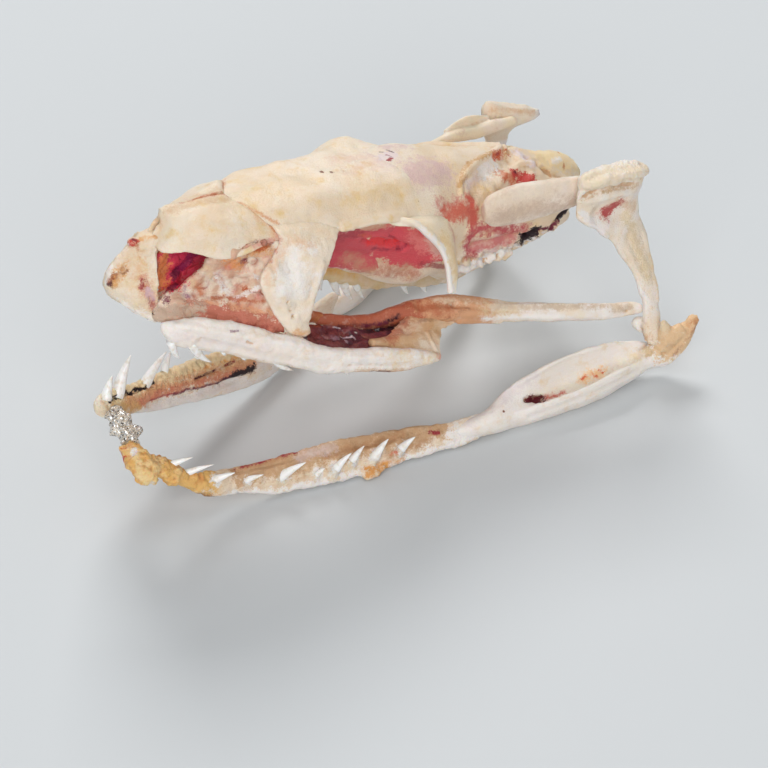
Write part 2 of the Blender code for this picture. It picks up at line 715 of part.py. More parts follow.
def make_right_dentary(ground):
    """Almost upright, with the long groove that runs along a lower jaw's inner face."""
    beam = [
        (4.0, 1.2, 16.2, 2.2, 20.2, 1.0),
        (7.6, 2.6, 13.7, 3.9, 18.9, 1.3),
        (14.0, 4.4, 10.2, 6.3, 15.8, 1.4),
        (22.0, 6.2, 6.9, 8.6, 13.4, 1.5),
        (30.0, 7.9, 3.6, 10.4, 10.9, 1.6),
        (37.0, 9.3, 1.7, 11.7, 8.9, 1.6),
        (42.5, 11.0, 0.9, 13.0, 7.4, 1.6),
        (47.0, 12.7, 0.5, 14.4, 6.6, 1.5),
        (52.0, 14.6, 0.5, 16.1, 6.2, 1.4),
        (56.4, 16.4, 0.5, 17.7, 6.2, 1.3),
    ]
    rows = [
        ((4.4, 2.2, 19.8), (5.9, 4.0, 22.4), 0.6),
        ((6.8, 3.5, 18.9), (10.0, 4.6, 24.0), 0.7),
        ((13.4, 6.0, 15.8), (17.0, 7.6, 19.6), 0.6),
        ((19.0, 7.8, 14.1), (20.6, 9.4, 16.6), 0.5),
        ((25.0, 9.2, 12.2), (27.4, 10.6, 14.6), 0.6),
        ((31.0, 10.5, 10.3), (33.2, 11.8, 12.6), 0.6),
        ((37.0, 11.6, 8.6), (39.2, 12.8, 10.8), 0.5),
        ((43.0, 13.1, 7.0), (45.0, 14.2, 8.8), 0.5),
    ]
    groove = [
        (9.0, 2.5, 15.6, 0.5, 0.5),
        (16.0, 4.5, 12.2, 0.8, 0.7),
        (24.0, 6.3, 9.3, 0.9, 0.8),
        (32.0, 8.0, 6.5, 0.9, 0.8),
        (39.0, 9.4, 4.7, 0.7, 0.6),
    ]
    bone = to_object("dentary_right", band(beam), ground)
    fuse(bone, [teeth_up(rows)], ground)
    hollow(bone, sweep(groove, 6), ground)
    finish_bone(bone, PALE_BONE)


def oval_section(out, z, wide, high):
    """A jaw section as an oval, with its points where the muscle hollow's sections have them."""
    turns = (-60, -12, 30, 52, 76, 104, 132, 180, 238)
    return [(out + wide * cos(radians(turn)), z + high * sin(radians(turn))) for turn in turns]


def make_compound_bone(ground, side):
    """Rear half of the lower jaw: muscle hollow between two lips, joint and hooked rear end.

    Each section lists distance outward and height, from the outer underside over the outer
    lip, the hollow's floor and the higher inner lip, down to the inner underside.
    """
    sections = [
        (59.7, -4.9, oval_section(22.6, 2.4, 1.8, 1.9)),
        (64.0, -4.3, oval_section(23.2, 2.4, 2.0, 2.3)),
        (68.0, -3.0, [(24.6, 0.0), (25.6, 1.6), (25.4, 3.4), (24.4, 4.2), (23.2, 4.9), (22.0, 5.8),
                      (21.1, 6.0), (20.7, 3.4), (22.0, 0.0)]),
        (72.0, -2.0, [(25.4, 0.0), (26.6, 2.0), (26.4, 4.4), (25.2, 4.1), (23.9, 4.0), (22.6, 6.0),
                      (21.6, 7.2), (20.9, 4.2), (22.5, 0.0)]),
        (76.0, -1.2, [(26.2, 0.0), (27.5, 2.4), (27.3, 5.0), (25.9, 3.7), (24.3, 3.2), (22.9, 5.8),
                      (21.9, 8.1), (21.0, 5.0), (23.0, 0.0)]),
        (81.0, -0.8, [(26.8, 0.0), (28.2, 2.6), (28.1, 5.5), (26.6, 3.7), (24.8, 3.0), (23.1, 5.6),
                      (22.1, 8.3), (21.2, 5.0), (23.4, 0.0)]),
        (86.0, -0.8, [(27.0, 0.0), (28.4, 2.8), (28.2, 5.7), (26.9, 4.1), (25.1, 3.5), (23.4, 5.8),
                      (22.4, 8.1), (21.6, 5.0), (23.8, 0.0)]),
        (91.0, -0.8, [(27.0, 0.6), (28.3, 3.0), (28.0, 5.5), (26.8, 4.7), (25.3, 4.4), (23.7, 5.8),
                      (22.9, 7.2), (22.2, 4.6), (24.2, 0.6)]),
        (95.0, -0.8, [(27.2, 1.8), (28.4, 3.4), (27.8, 5.0), (26.7, 5.2), (25.6, 5.2), (24.4, 5.6),
                      (23.6, 6.2), (23.2, 4.4), (24.8, 1.8)]),
        (98.6, -0.9, oval_section(27.4, 3.9, 2.0, 2.0)),
        (101.4, -1.2, oval_section(28.2, 6.4, 1.7, 2.1)),
        (103.4, -1.6, oval_section(28.4, 8.4, 1.3, 1.5)),
        (104.8, -1.8, oval_section(28.3, 9.8, 0.6, 0.7)),
    ]
    right_set_forward = 2.6
    rings = []
    for x, right_shift, section in sections:
        shift = right_shift if side == RIGHT else 0.0
        station = x - right_set_forward if side == RIGHT else x
        rings.append([(station, side * (out + shift), z) for out, z in section])
    bone = to_object("compound_bone_" + named(side), solid_of_rings(rings), ground)
    finish_bone(bone, PALE_BONE)


def make_chin_ligament(ground):
    """Dried ligament that still ties the tip of the left lower jaw to the right one."""
    strap = [
        (2.0, -7.4, 16.2, 1.5, 1.1),
        (2.2, -9.4, 15.0, 2.2, 1.6),
        (2.4, -11.6, 13.6, 2.0, 1.5),
        (2.6, -13.4, 12.4, 0.9, 0.7),
    ]
    piece = to_object("chin_ligament", sweep(strap), ground)
    finish_bone(piece, (0.78, 0.50, 0.20), 0.6)


def make_glue_lump(ground):
    """Glittering lump of glue between the ligament and the right lower jaw."""
    lump = [
        (3.2, -0.4, 17.8, 1.3, 1.2),
        (3.3, -2.6, 17.2, 1.9, 1.6),
        (3.0, -4.6, 16.8, 1.8, 1.4),
        (2.7, -5.8, 16.6, 1.2, 1.0),
    ]
    piece = to_object("glue_lump", sweep(lump), ground)
    finish_bone(piece, (0.75, 0.75, 0.72), 0.25)


def build():
    clear_scene()
    ground = add_frame("ground_frame", [-c for c in GROUND_CENTRE])
    tip = Vector(SNOUT_TIP) - Vector(GROUND_CENTRE)
    cranium = add_frame("cranium_frame", tip, CRANIUM_PITCH)
    make_premaxilla(cranium)
    make_braincase(cranium)
    for side in (LEFT, RIGHT):
        make_nasal(cranium, side)
        make_inner_nose(cranium, side)
        make_prefrontal(cranium, side)
        make_frontal(cranium, side)
        make_maxilla(cranium, side)
        make_palatine(cranium, side)
        make_supratemporal(cranium, side)
        make_quadrate(cranium, side)
        make_compound_bone(ground, side)
    make_postorbital(cranium, LEFT, 0.0)
    make_postorbital(cranium, RIGHT, 3.4)
    make_left_pterygoid(cranium)
    make_right_pterygoid(cranium)
    make_ectopterygoid(cranium, LEFT, (60.4, 14.6, -10.6, 0.9, 0.9))
    make_ectopterygoid(cranium, RIGHT, (64.0, 10.0, -12.6, 0.9, 0.9))
    make_left_dentary(ground)
    make_right_dentary(ground)
    make_chin_ligament(ground)
    make_glue_lump(ground)


build()
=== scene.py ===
"""A dried snake skull with its jaws open, drawn bone by bone in the places of the solids.

Lengths are drawn in hundredths of the skull's length.  The cranium is drawn with x back
from the snout tip, y to the animal's right and z up; the lower jaw with x back, y to the
right and z up from the ground.  Left bones have negative y.
"""
from math import cos, pi, radians, sin

import bpy
import numpy as np
from mathutils import Matrix, Vector, noise


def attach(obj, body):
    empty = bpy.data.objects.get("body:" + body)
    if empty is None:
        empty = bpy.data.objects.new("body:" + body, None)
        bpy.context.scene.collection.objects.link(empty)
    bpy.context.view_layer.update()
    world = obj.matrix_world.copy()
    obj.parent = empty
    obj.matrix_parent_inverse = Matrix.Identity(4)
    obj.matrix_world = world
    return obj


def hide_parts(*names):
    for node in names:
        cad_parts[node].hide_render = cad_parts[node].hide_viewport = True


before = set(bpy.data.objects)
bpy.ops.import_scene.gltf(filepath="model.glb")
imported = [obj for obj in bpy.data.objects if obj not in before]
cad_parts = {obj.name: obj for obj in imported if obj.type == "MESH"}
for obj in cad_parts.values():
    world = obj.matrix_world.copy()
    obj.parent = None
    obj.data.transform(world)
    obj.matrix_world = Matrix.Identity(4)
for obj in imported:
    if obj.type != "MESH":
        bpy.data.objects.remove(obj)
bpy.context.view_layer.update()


# PREMAXILLA.  The solid bone at the snout's tip: a keeled wedge, yellowish at the sides and
# white along its lower rim, pitted where nerves came out.  It grew against both upper jaw
# bones and is held between them by dried membrane.

UNIT = 0.0007
GROUND_BED = Matrix.Translation(Vector((-52.5, 0.6, 0.0)) * UNIT) @ Matrix.Scale(UNIT, 4)
CRANIUM_BED = (Matrix.Translation(Vector((-48.8, 0.6, 44.5)) * UNIT)
               @ Matrix.Rotation(radians(15), 4, "Y") @ Matrix.Scale(UNIT, 4))


def through(rows, steps=5):
    """More stations, set close together on a smooth run through the given ones."""
    given = np.array(rows, float)
    run = np.concatenate([2 * given[:1] - given[1:2], given, 2 * given[-1:] - given[-2:-1]])
    stations = []
    for before, here, there, after in zip(run, run[1:], run[2:], run[3:]):
        for t in np.linspace(0, 1, steps, endpoint=False):
            bend = (2 * before - 5 * here + 4 * there - after) * t * t
            twist = (3 * here - before - 3 * there + after) * t ** 3
            stations.append((2 * here + (there - before) * t + bend + twist) / 2)
    stations.append(given[-1])
    return np.array(stations)


def round_through(ring, steps=4):
    """A closed smooth run through the points of a ring."""
    ring = np.array(ring, float)
    longer = np.concatenate([ring[-2:], ring, ring[:3]])
    return through(longer, steps)[2 * steps:(2 + len(ring)) * steps]


def skin(rings):
    """Closed skin over rings of points."""
    rings = np.array(rings, float)
    count, sides = rings.shape[:2]
    ends = np.array([rings[0].mean(0), rings[-1].mean(0)])
    points = np.concatenate([rings.reshape(-1, 3), ends])
    faces = []
    for side in range(sides):
        after = (side + 1) % sides
        for ring in range(count - 1):
            low = ring * sides
            high = low + sides
            faces.append((low + side, low + after, high + after, high + side))
        last = (count - 1) * sides
        faces.append((after, side, count * sides))
        faces.append((last + side, last + after, count * sides + 1))
    return points, faces


def rod(stations, steps=5, sides=20):
    """Skin over oval sections: x, y, z, half width, half height and a lean in degrees."""
    rows = [tuple(s) + (0.0,) * (6 - len(s)) for s in stations]
    rows = through(rows, steps)
    centres = rows[:, :3]
    rings = []
    for index, station in enumerate(rows):
        run = centres[min(index + 1, len(rows) - 1)] - centres[max(index - 1, 0)]
        run = run / np.linalg.norm(run)
        level = (0, 0, 1) if abs(run[2]) < 0.8 else (1, 0, 0)
        across = np.cross(run, level)
        across = across / np.linalg.norm(across)
        upward = np.cross(across, run)
        lean = radians(station[5])
        wide = across * cos(lean) + upward * sin(lean)
        high = upward * cos(lean) - across * sin(lean)
        half_wide = max(station[3], 0.05)
        half_high = max(station[4], 0.05)
        turns = np.arange(sides) * 2 * pi / sides
        ring = centres[index] + np.outer(np.cos(turns) * half_wide, wide)
        rings.append(ring + np.outer(np.sin(turns) * half_high, high))
    return skin(rings)


def grown(name, forms, grain, soften):
    """One bone from overlapping closed forms, grown together and softened."""
    points = []
    faces = []
    for form_points, form_faces in forms:
        start = len(points)
        points += form_points.tolist()
        faces += [tuple(start + corner for corner in face) for face in form_faces]
    mesh = bpy.data.meshes.new(name)
    mesh.from_pydata(points, [], faces)
    piece = bpy.data.objects.new(name, mesh)
    bpy.context.scene.collection.objects.link(piece)
    knit = piece.modifiers.new("knit", "REMESH")
    knit.mode = "VOXEL"
    knit.voxel_size = grain
    soft = piece.modifiers.new("soft", "SMOOTH")
    soft.factor = 0.5
    soft.iterations = soften
    bpy.context.view_layer.update()
    shaped = piece.evaluated_get(bpy.context.evaluated_depsgraph_get())
    piece.data = bpy.data.meshes.new_from_object(shaped)
    piece.modifiers.clear()
    return piece


def surface(piece):
    """Every point of a piece, and the way it faces."""
    count = len(piece.data.vertices)
    place = np.empty(count * 3, np.float32)
    facing = np.empty(count * 3, np.float32)
    piece.data.vertices.foreach_get("co", place)
    piece.data.vertex_normals.foreach_get("vector", facing)
    return place.reshape(-1, 3).astype(float), facing.reshape(-1, 3).astype(float)


def move_surface(piece, place):
    """Put every point of a piece at its new place."""
    piece.data.vertices.foreach_set("co", place.astype(np.float32).ravel())
    piece.data.update()


def touch(place, path, reach):
    """How strongly a stroke along a path is felt at each place, from 0 to 1."""
    path = np.array(path, float).reshape(-1, 3)
    gap = np.linalg.norm(place - path[0], axis=1)
    for start, end in zip(path, path[1:]):
        run = end - start
        share = np.clip((place - start) @ run / (run @ run), 0, 1)
        gap = np.minimum(gap, np.linalg.norm(place - start - share[:, None] * run, axis=1))
    return np.clip(1 - (gap / reach) ** 2, 0, 1) ** 2


def worked(piece, strokes):
    """Raise or sink the surface with strokes: path, reach and height."""
    for path, reach, height in strokes:
        place, facing = surface(piece)
        rise = touch(place, path, reach) * height
        move_surface(piece, place + facing * rise[:, None])


def roughened(piece, size, height, seed, path=None, reach=1.0):
    """Lumps of one size, all over or along a path."""
    place, facing = surface(piece)
    lumps = [noise.noise(Vector(spot) / size + Vector((seed, 0, 0))) for spot in place]
    rise = np.array(lumps) * height
    if path:
        rise = rise * touch(place, path, reach)
    move_surface(piece, place + facing * rise[:, None])


def set_down(piece, bed, *materials):
    """Keep where each point was drawn, for the stained and painted marks, and move the piece to its place."""
    mesh = piece.data
    place, facing = surface(piece)
    count = len(place)
    edges = np.empty(len(mesh.edges) * 2, np.int32)
    mesh.edges.foreach_get("vertices", edges)
    first, second = edges.reshape(-1, 2).T
    around = np.zeros((count, 3))
    shared = np.zeros(count)
    for here, there in ((first, second), (second, first)):
        np.add.at(around, here, place[there])
        np.add.at(shared, here, 1)
    # How hollow each point lies, read by the shader to lay the crease colour, dried tissue and painted shade,
    # into the hollows.
    dip = ((around / np.maximum(shared, 1)[:, None] - place) * facing).sum(1)
    for _ in range(3):
        spread = np.zeros(count)
        for here, there in ((first, second), (second, first)):
            np.add.at(spread, here, dip[there])
        dip = (dip + spread / np.maximum(shared, 1)) / 2
    drawn = mesh.attributes.new("drawn", "FLOAT_VECTOR", "POINT")
    drawn.data.foreach_set("vector", place.astype(np.float32).ravel())
    hollow = mesh.attributes.new("hollow", "FLOAT", "POINT")
    hollow.data.foreach_set("value", dip.astype(np.float32))
    mesh.transform(bed)
    mesh.polygons.foreach_set("use_smooth", np.ones(len(mesh.polygons), bool))
    mesh.update()
    for material in materials:
        mesh.materials.append(material)
    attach(piece, "root")


def tint(red, green, blue):
    """A colour as the eye counts it, from 0 to 255."""
    shares = [c / 255 for c in (red, green, blue)]
    return (*[c / 12.92 if c < 0.04 else ((c + 0.055) / 1.055) ** 2.4 for c in shares], 1.0)


def shader_node(tree, kind, inputs, **settings):
    """A node whose sockets are set, or linked where the value is another node's socket."""
    node = tree.nodes.new(kind)
    for name, value in settings.items():
        setattr(node, name, value)
    for name, value in inputs.items():
        if isinstance(value, bpy.types.NodeSocket):
            tree.links.new(value, node.inputs[name])
        else:
            node.inputs[name].default_value = value
    return node


def sums(tree, how, *values, **settings):
    """Arithmetic on numbers."""
    return shader_node(tree, "ShaderNodeMath", dict(enumerate(values)), operation=how,
                       **settings).outputs[0]


def place_sums(tree, how, *values):
    """Arithmetic on places, as a place."""
    return shader_node(tree, "ShaderNodeVectorMath", dict(enumerate(values)), operation=how).outputs[0]


def shader_group(name, inputs, outputs):
    """An empty node group with its sockets, and its two end nodes."""
    group = bpy.data.node_groups.new(name, "ShaderNodeTree")
    kinds = {"v": "NodeSocketVector", "c": "NodeSocketColor", "f": "NodeSocketFloat"}
    for label, kind in inputs:
        group.interface.new_socket(name=label, in_out="INPUT", socket_type=kinds[kind])
    for label, kind in outputs:
        group.interface.new_socket(name=label, in_out="OUTPUT", socket_type=kinds[kind])
    return group, group.nodes.new("NodeGroupInput").outputs, group.nodes.new("NodeGroupOutput").inputs


def blended(tree, share, under, over):
    """Colour over colour by a share."""
    mix = shader_node(tree, "ShaderNodeMix", {}, data_type="RGBA")
    for index, value in ((0, share), (6, under), (7, over)):
        if isinstance(value, bpy.types.NodeSocket):
            tree.links.new(value, mix.inputs[index])
        else:
            mix.inputs[index].default_value = value
    return mix.outputs[2]


def ramp(tree, value, low, high, start=0.0, end=1.0):
    """Runs smoothly from start to end while the value goes from low to high."""
    node = shader_node(tree, "ShaderNodeMapRange", {
        "Value": value, "From Min": low, "From Max": high, "To Min": start, "To Max": end,
    }, interpolation_type="SMOOTHSTEP")
    return node.outputs["Result"]


# Uneven growth of bone: clouds of paler and older bone, faint fibres and pores; and the crease colour laid
# into pores and hollows of the surface, which stands for dried tissue there and is also painted shade.
bone_growth_and_hollow_shade, given, made = shader_group(
    "bone_growth_and_hollow_shade",
    [("Place", "v"), ("Hollow", "f"), ("Main", "c"), ("Pale", "c"), ("Aged", "c"),
     ("Crease", "c"), ("Cloud Size", "f"), ("Pores", "f"), ("Fibres", "f")],
    [("Color", "c"), ("Roughness", "f"), ("Height", "f")])
clouds = shader_node(bone_growth_and_hollow_shade, "ShaderNodeTexNoise", {
    "Vector": given["Place"], "Scale": given["Cloud Size"], "Detail": 3.0, "Distortion": 0.6})
age = shader_node(bone_growth_and_hollow_shade, "ShaderNodeTexNoise", {
    "Vector": given["Place"], "Scale": 0.37, "Detail": 5.0, "Roughness": 0.62})
squeezed = place_sums(bone_growth_and_hollow_shade, "MULTIPLY", given["Place"], (0.22, 1.5, 1.5))
fibres = shader_node(bone_growth_and_hollow_shade, "ShaderNodeTexNoise", {
    "Vector": squeezed, "Scale": 1.6, "Detail": 4.0})
grain = shader_node(bone_growth_and_hollow_shade, "ShaderNodeTexNoise", {
    "Vector": given["Place"], "Scale": 3.4, "Detail": 4.0, "Roughness": 0.6})
holes = shader_node(bone_growth_and_hollow_shade, "ShaderNodeTexVoronoi", {
    "Vector": given["Place"], "Scale": 1.1})
open_holes = ramp(bone_growth_and_hollow_shade, holes.outputs["Distance"], 0.16, 0.06)
rare = ramp(bone_growth_and_hollow_shade, age.outputs["Fac"], 0.50, 0.60)
pits = sums(bone_growth_and_hollow_shade, "MULTIPLY", open_holes, rare)
pits = sums(bone_growth_and_hollow_shade, "MULTIPLY", pits, given["Pores"])
colour = blended(bone_growth_and_hollow_shade, ramp(bone_growth_and_hollow_shade, clouds.outputs["Fac"], 0.40, 0.62),
                 given["Main"], given["Pale"])
older = ramp(bone_growth_and_hollow_shade, age.outputs["Fac"], 0.50, 0.78)
colour = blended(bone_growth_and_hollow_shade, older, colour, given["Aged"])
streaks = ramp(bone_growth_and_hollow_shade, fibres.outputs["Fac"], 0.40, 0.68)
streaks = sums(bone_growth_and_hollow_shade, "MULTIPLY", streaks, given["Fibres"])
faint = sums(bone_growth_and_hollow_shade, "MULTIPLY", streaks, 0.35)
colour = blended(bone_growth_and_hollow_shade, faint, colour, given["Aged"])
colour = blended(bone_growth_and_hollow_shade, ramp(bone_growth_and_hollow_shade, grain.outputs["Fac"], 0.52, 0.74, 0.0, 0.22),
                 colour, given["Aged"])
# Painted shade, with dried tissue: the crease colour laid into the hollows of the surface and into the pores.
creased = ramp(bone_growth_and_hollow_shade, given["Hollow"], 0.005, 0.036, 0.0, 0.75)
colour = blended(bone_growth_and_hollow_shade, creased, colour, given["Crease"])
colour = blended(bone_growth_and_hollow_shade, pits, colour, given["Crease"])
bone_growth_and_hollow_shade.links.new(colour, made["Color"])
bone_growth_and_hollow_shade.links.new(ramp(bone_growth_and_hollow_shade, grain.outputs["Fac"], 0.3, 0.7, 0.30, 0.52), made["Roughness"])
uneven = sums(bone_growth_and_hollow_shade, "MULTIPLY_ADD", streaks, 0.22, grain.outputs["Fac"])
bone_growth_and_hollow_shade.links.new(sums(bone_growth_and_hollow_shade, "MULTIPLY_ADD", pits, -0.9, uneven), made["Height"])

# What makes the marks ragged, stains and painted shade and light alike: a push on the place, which differs
# all over, and a patchiness.
# Folded is the like place on the left side.
raggedness, given, made = shader_group(
    "raggedness", [("Place", "v")], [("Push", "v"), ("Folded", "v"), ("Patch", "f")])
push = (0.0, 0.0, 0.0)
for scale, amount in ((0.30, 1.0), (1.1, 1.5), (4.2, 1.3)):
    swirl = shader_node(raggedness, "ShaderNodeTexNoise", {
        "Vector": given["Place"], "Scale": scale, "Detail": 2.0})
    centred = place_sums(raggedness, "SUBTRACT", swirl.outputs["Color"], (0.5, 0.5, 0.5))
    push = place_sums(raggedness, "MULTIPLY_ADD", centred, (amount, amount, amount), push)
raggedness.links.new(push, made["Push"])
axes = shader_node(raggedness, "ShaderNodeSeparateXYZ", {"Vector": given["Place"]}).outputs
leftward = sums(raggedness, "MULTIPLY", sums(raggedness, "ABSOLUTE", axes["Y"]), -1.0)
folded = shader_node(raggedness, "ShaderNodeCombineXYZ", {"X": axes["X"], "Y": leftward, "Z": axes["Z"]})
raggedness.links.new(folded.outputs["Vector"], made["Folded"])
blotch = shader_node(raggedness, "ShaderNodeTexNoise", {
    "Vector": given["Place"], "Scale": 0.8, "Detail": 4.0, "Roughness": 0.6})
raggedness.links.new(ramp(raggedness, blotch.outputs["Fac"], 0.34, 0.58, 0.60, 1.0), made["Patch"])

# A mark along a line from one place to another: a stain that has sunk in, and in some places painted shade
# and painted light.
FARTHEST_PUSH = 2.8
stain_and_painted_light_line, given, made = shader_group(
    "stain_and_painted_light_line",
    [("Under", "c"), ("Mark Colour", "c"), ("Place", "v"), ("Push", "v"), ("From", "v"), ("To", "v"),
     ("Patch", "f"), ("Reach", "f"), ("Fade", "f"), ("Strength", "f")],
    [("Color", "c")])
give = sums(stain_and_painted_light_line, "MINIMUM", given["Reach"], FARTHEST_PUSH)
pushed = shader_node(stain_and_painted_light_line, "ShaderNodeVectorMath", {0: given["Push"], "Scale": give}, operation="SCALE")
spot = place_sums(stain_and_painted_light_line, "ADD", given["Place"], pushed.outputs[0])
along = place_sums(stain_and_painted_light_line, "SUBTRACT", given["To"], given["From"])
away = place_sums(stain_and_painted_light_line, "SUBTRACT", spot, given["From"])
reached = shader_node(stain_and_painted_light_line, "ShaderNodeVectorMath", {0: away, 1: along}, operation="DOT_PRODUCT")
whole = shader_node(stain_and_painted_light_line, "ShaderNodeVectorMath", {0: along, 1: along}, operation="DOT_PRODUCT")
whole = sums(stain_and_painted_light_line, "MAXIMUM", whole.outputs["Value"], 0.0001)
share = sums(stain_and_painted_light_line, "DIVIDE", reached.outputs["Value"], whole, use_clamp=True)
nearest = shader_node(stain_and_painted_light_line, "ShaderNodeVectorMath", {0: along, "Scale": share}, operation="SCALE")
gap = shader_node(stain_and_painted_light_line, "ShaderNodeVectorMath", {0: away, 1: nearest.outputs[0]}, operation="DISTANCE")
inner = sums(stain_and_painted_light_line, "SUBTRACT", given["Reach"], given["Fade"])
wet = shader_node(stain_and_painted_light_line, "ShaderNodeMapRange", {
    "Value": gap.outputs["Value"], "From Min": given["Reach"], "From Max": inner,
    "To Max": given["Strength"]}, interpolation_type="SMOOTHSTEP")
wet = sums(stain_and_painted_light_line, "MULTIPLY", wet.outputs[0], given["Patch"])
stain_and_painted_light_line.links.new(blended(stain_and_painted_light_line, wet, given["Under"], given["Mark Colour"]), made["Color"])

CREAM = tint(236, 213, 184)
IVORY = tint(242, 225, 204)
WHITE = tint(245, 237, 231)
YELLOWED = tint(232, 199, 142)
TAN = tint(212, 167, 121)
AMBER = tint(224, 158, 84)
RUST = tint(192, 98, 54)
BROWN = tint(128, 72, 42)
ROSE = tint(210, 126, 114)
CRIMSON = tint(160, 44, 54)
MAROON = tint(88, 26, 42)
# Near black, painted as shade into holes, empty tooth pits, deep dents and the palate's creases.
SHADE_BLACK = tint(34, 12, 18)
LILAC = tint(216, 186, 194)

BUMP_DEPTH = UNIT * 0.35
BONE_GLOW = 0.22
GLOW_BY_COLOUR = (1.0, 0.55, 0.30)
BONE_SHEEN = 0.42


def bone_finish(name, main, pale, aged, stains_and_painted_light, cloud=0.14, pores=0.25, fibres=0.5, crease=TAN,
                relief=0.5, paired=()):
    """Dry bone with its own marks, stained ones and painted shade and light: colour, from, to, reach, fade
    and strength.
    """
    material = bpy.data.materials.new(name)
    material.use_nodes = True
    tree = material.node_tree
    shader = tree.nodes["Principled BSDF"]
    drawn = shader_node(tree, "ShaderNodeAttribute", {}, attribute_name="drawn")
    hollow = shader_node(tree, "ShaderNodeAttribute", {}, attribute_name="hollow")
    growth = shader_node(tree, "ShaderNodeGroup", {}, node_tree=bone_growth_and_hollow_shade)
    tree.links.new(drawn.outputs["Vector"], growth.inputs["Place"])
    tree.links.new(hollow.outputs["Fac"], growth.inputs["Hollow"])
    for label, value in (("Main", main), ("Pale", pale), ("Aged", aged), ("Crease", crease),
                         ("Cloud Size", cloud), ("Pores", pores), ("Fibres", fibres)):
        growth.inputs[label].default_value = value
    ragged = shader_node(tree, "ShaderNodeGroup", {}, node_tree=raggedness)
    tree.links.new(drawn.outputs["Vector"], ragged.inputs["Place"])
    folded = ragged.outputs["Folded"]
    colour = growth.outputs["Color"]
    marks = [(folded, *mark) for mark in paired] + [(drawn.outputs["Vector"], *mark) for mark in stains_and_painted_light]
    for place, mark_colour, start, end, reach, fade, strength in marks:
        mark_node = shader_node(tree, "ShaderNodeGroup", {}, node_tree=stain_and_painted_light_line)
        tree.links.new(colour, mark_node.inputs["Under"])
        tree.links.new(place, mark_node.inputs["Place"])
        tree.links.new(ragged.outputs["Push"], mark_node.inputs["Push"])
        tree.links.new(ragged.outputs["Patch"], mark_node.inputs["Patch"])
        for label, value in (("Mark Colour", mark_colour), ("From", start), ("To", end),
                             ("Reach", reach), ("Fade", fade), ("Strength", strength)):
            mark_node.inputs[label].default_value = value
        colour = mark_node.outputs["Color"]
    bump = shader_node(tree, "ShaderNodeBump", {
        "Height": growth.outputs["Height"], "Distance": BUMP_DEPTH, "Strength": relief})
    tree.links.new(colour, shader.inputs["Base Color"])
    tree.links.new(growth.outputs["Roughness"], shader.inputs["Roughness"])
    tree.links.new(bump.outputs["Normal"], shader.inputs["Normal"])
    shader.inputs["Subsurface Weight"].default_value = BONE_GLOW
    shader.inputs["Subsurface Radius"].default_value = GLOW_BY_COLOUR
    shader.inputs["Subsurface Scale"].default_value = UNIT
    shader.inputs["Specular IOR Level"].default_value = BONE_SHEEN
    return material


snout_slices = [
    [(0.9, 0.0, -1.8), (0.0, 0.0, 1.0), (0.8, 0.0, 3.6),
     (3.2, 0.0, 6.5), (6.9, 0.0, 7.4), (3.6, 0.0, -2.8)],
    [(2.3, 2.4, -2.4), (1.4, 2.1, 0.8), (2.8, 1.5, 3.5),
     (4.6, 1.0, 5.8), (6.7, 0.8, 6.8), (4.8, 1.8, -3.2)],
    [(4.6, 4.5, -3.5), (3.6, 4.2, -0.4), (4.7, 3.2, 3.6),
     (5.7, 2.2, 5.8), (6.9, 1.6, 6.3), (6.2, 3.2, -4.0)],
    [(7.1, 6.0, -4.5), (6.8, 5.6, -1.4), (6.5, 4.6, 3.8),
     (6.4, 3.2, 6.7), (7.2, 2.4, 6.2), (7.8, 4.6, -4.6)],
]
snout_rings = [[(x, -y, z) for x, y, z in part] for part in reversed(snout_slices[1:])]
snout_rings += snout_slices
snout_skin = skin(through([round_through(ring) for ring in snout_rings], 5))
palate_process = rod([(3.6, 0, -2.4, 1.6, 0.6), (6.5, 0, -3.0, 1.3, 0.6), (10.0, 0, -3.2, 0.9, 0.5)])
rising_process = rod([(4.2, 0, 6.1, 1.0, 0.8), (6.2, 0, 7.0, 1.9, 1.2), (8.0, 0, 7.4, 2.2, 1.3)])
blood_drop = rod([(3.2, -0.1, 7.0, 0.5, 0.4), (3.9, -0.3, 7.4, 0.9, 0.6), (4.6, -0.6, 7.1, 0.5, 0.4)])
premaxilla = grown("snout_tip_bone", [snout_skin, palate_process, rising_process, blood_drop], 0.2, 4)
worked(premaxilla, [
    ([(0.9, -1.1, 1.9)], 0.7, -0.8),
    ([(2.1, -1.5, 3.3)], 0.7, -0.7),
    ([(0.8, -0.9, 0.0)], 0.6, -0.5),
    ([(4.7, -4.1, 2.2), (5.0, -4.3, 1.4)], 0.6, -0.5),
    ([(5.8, -5.0, -0.6), (6.4, -5.4, -1.6)], 0.6, -0.4),
    ([(0.9, 1.1, 1.9)], 0.7, -0.8),
    ([(2.1, 1.5, 3.3)], 0.7, -0.7),
    ([(4.7, 4.1, 2.2)], 0.6, -0.5),
    ([(2.4, -2.6, -2.4), (4.8, -4.6, -3.5), (7.0, -6.0, -4.4)], 0.8, 0.25),
    ([(2.4, 2.6, -2.4), (4.8, 4.6, -3.5), (7.0, 6.0, -4.4)], 0.8, 0.25),
    ([(6.9, -5.8, -1.4), (6.7, -4.8, 3.6)], 0.6, 0.3),
    ([(6.9, 5.8, -1.4), (6.7, 4.8, 3.6)], 0.6, 0.3),
])
roughened(premaxilla, 1.3, 0.25, 11)
roughened(premaxilla, 0.6, 0.18, 12, [(0.5, 0, 2.0), (1.6, 0, 5.0)], 3.0)
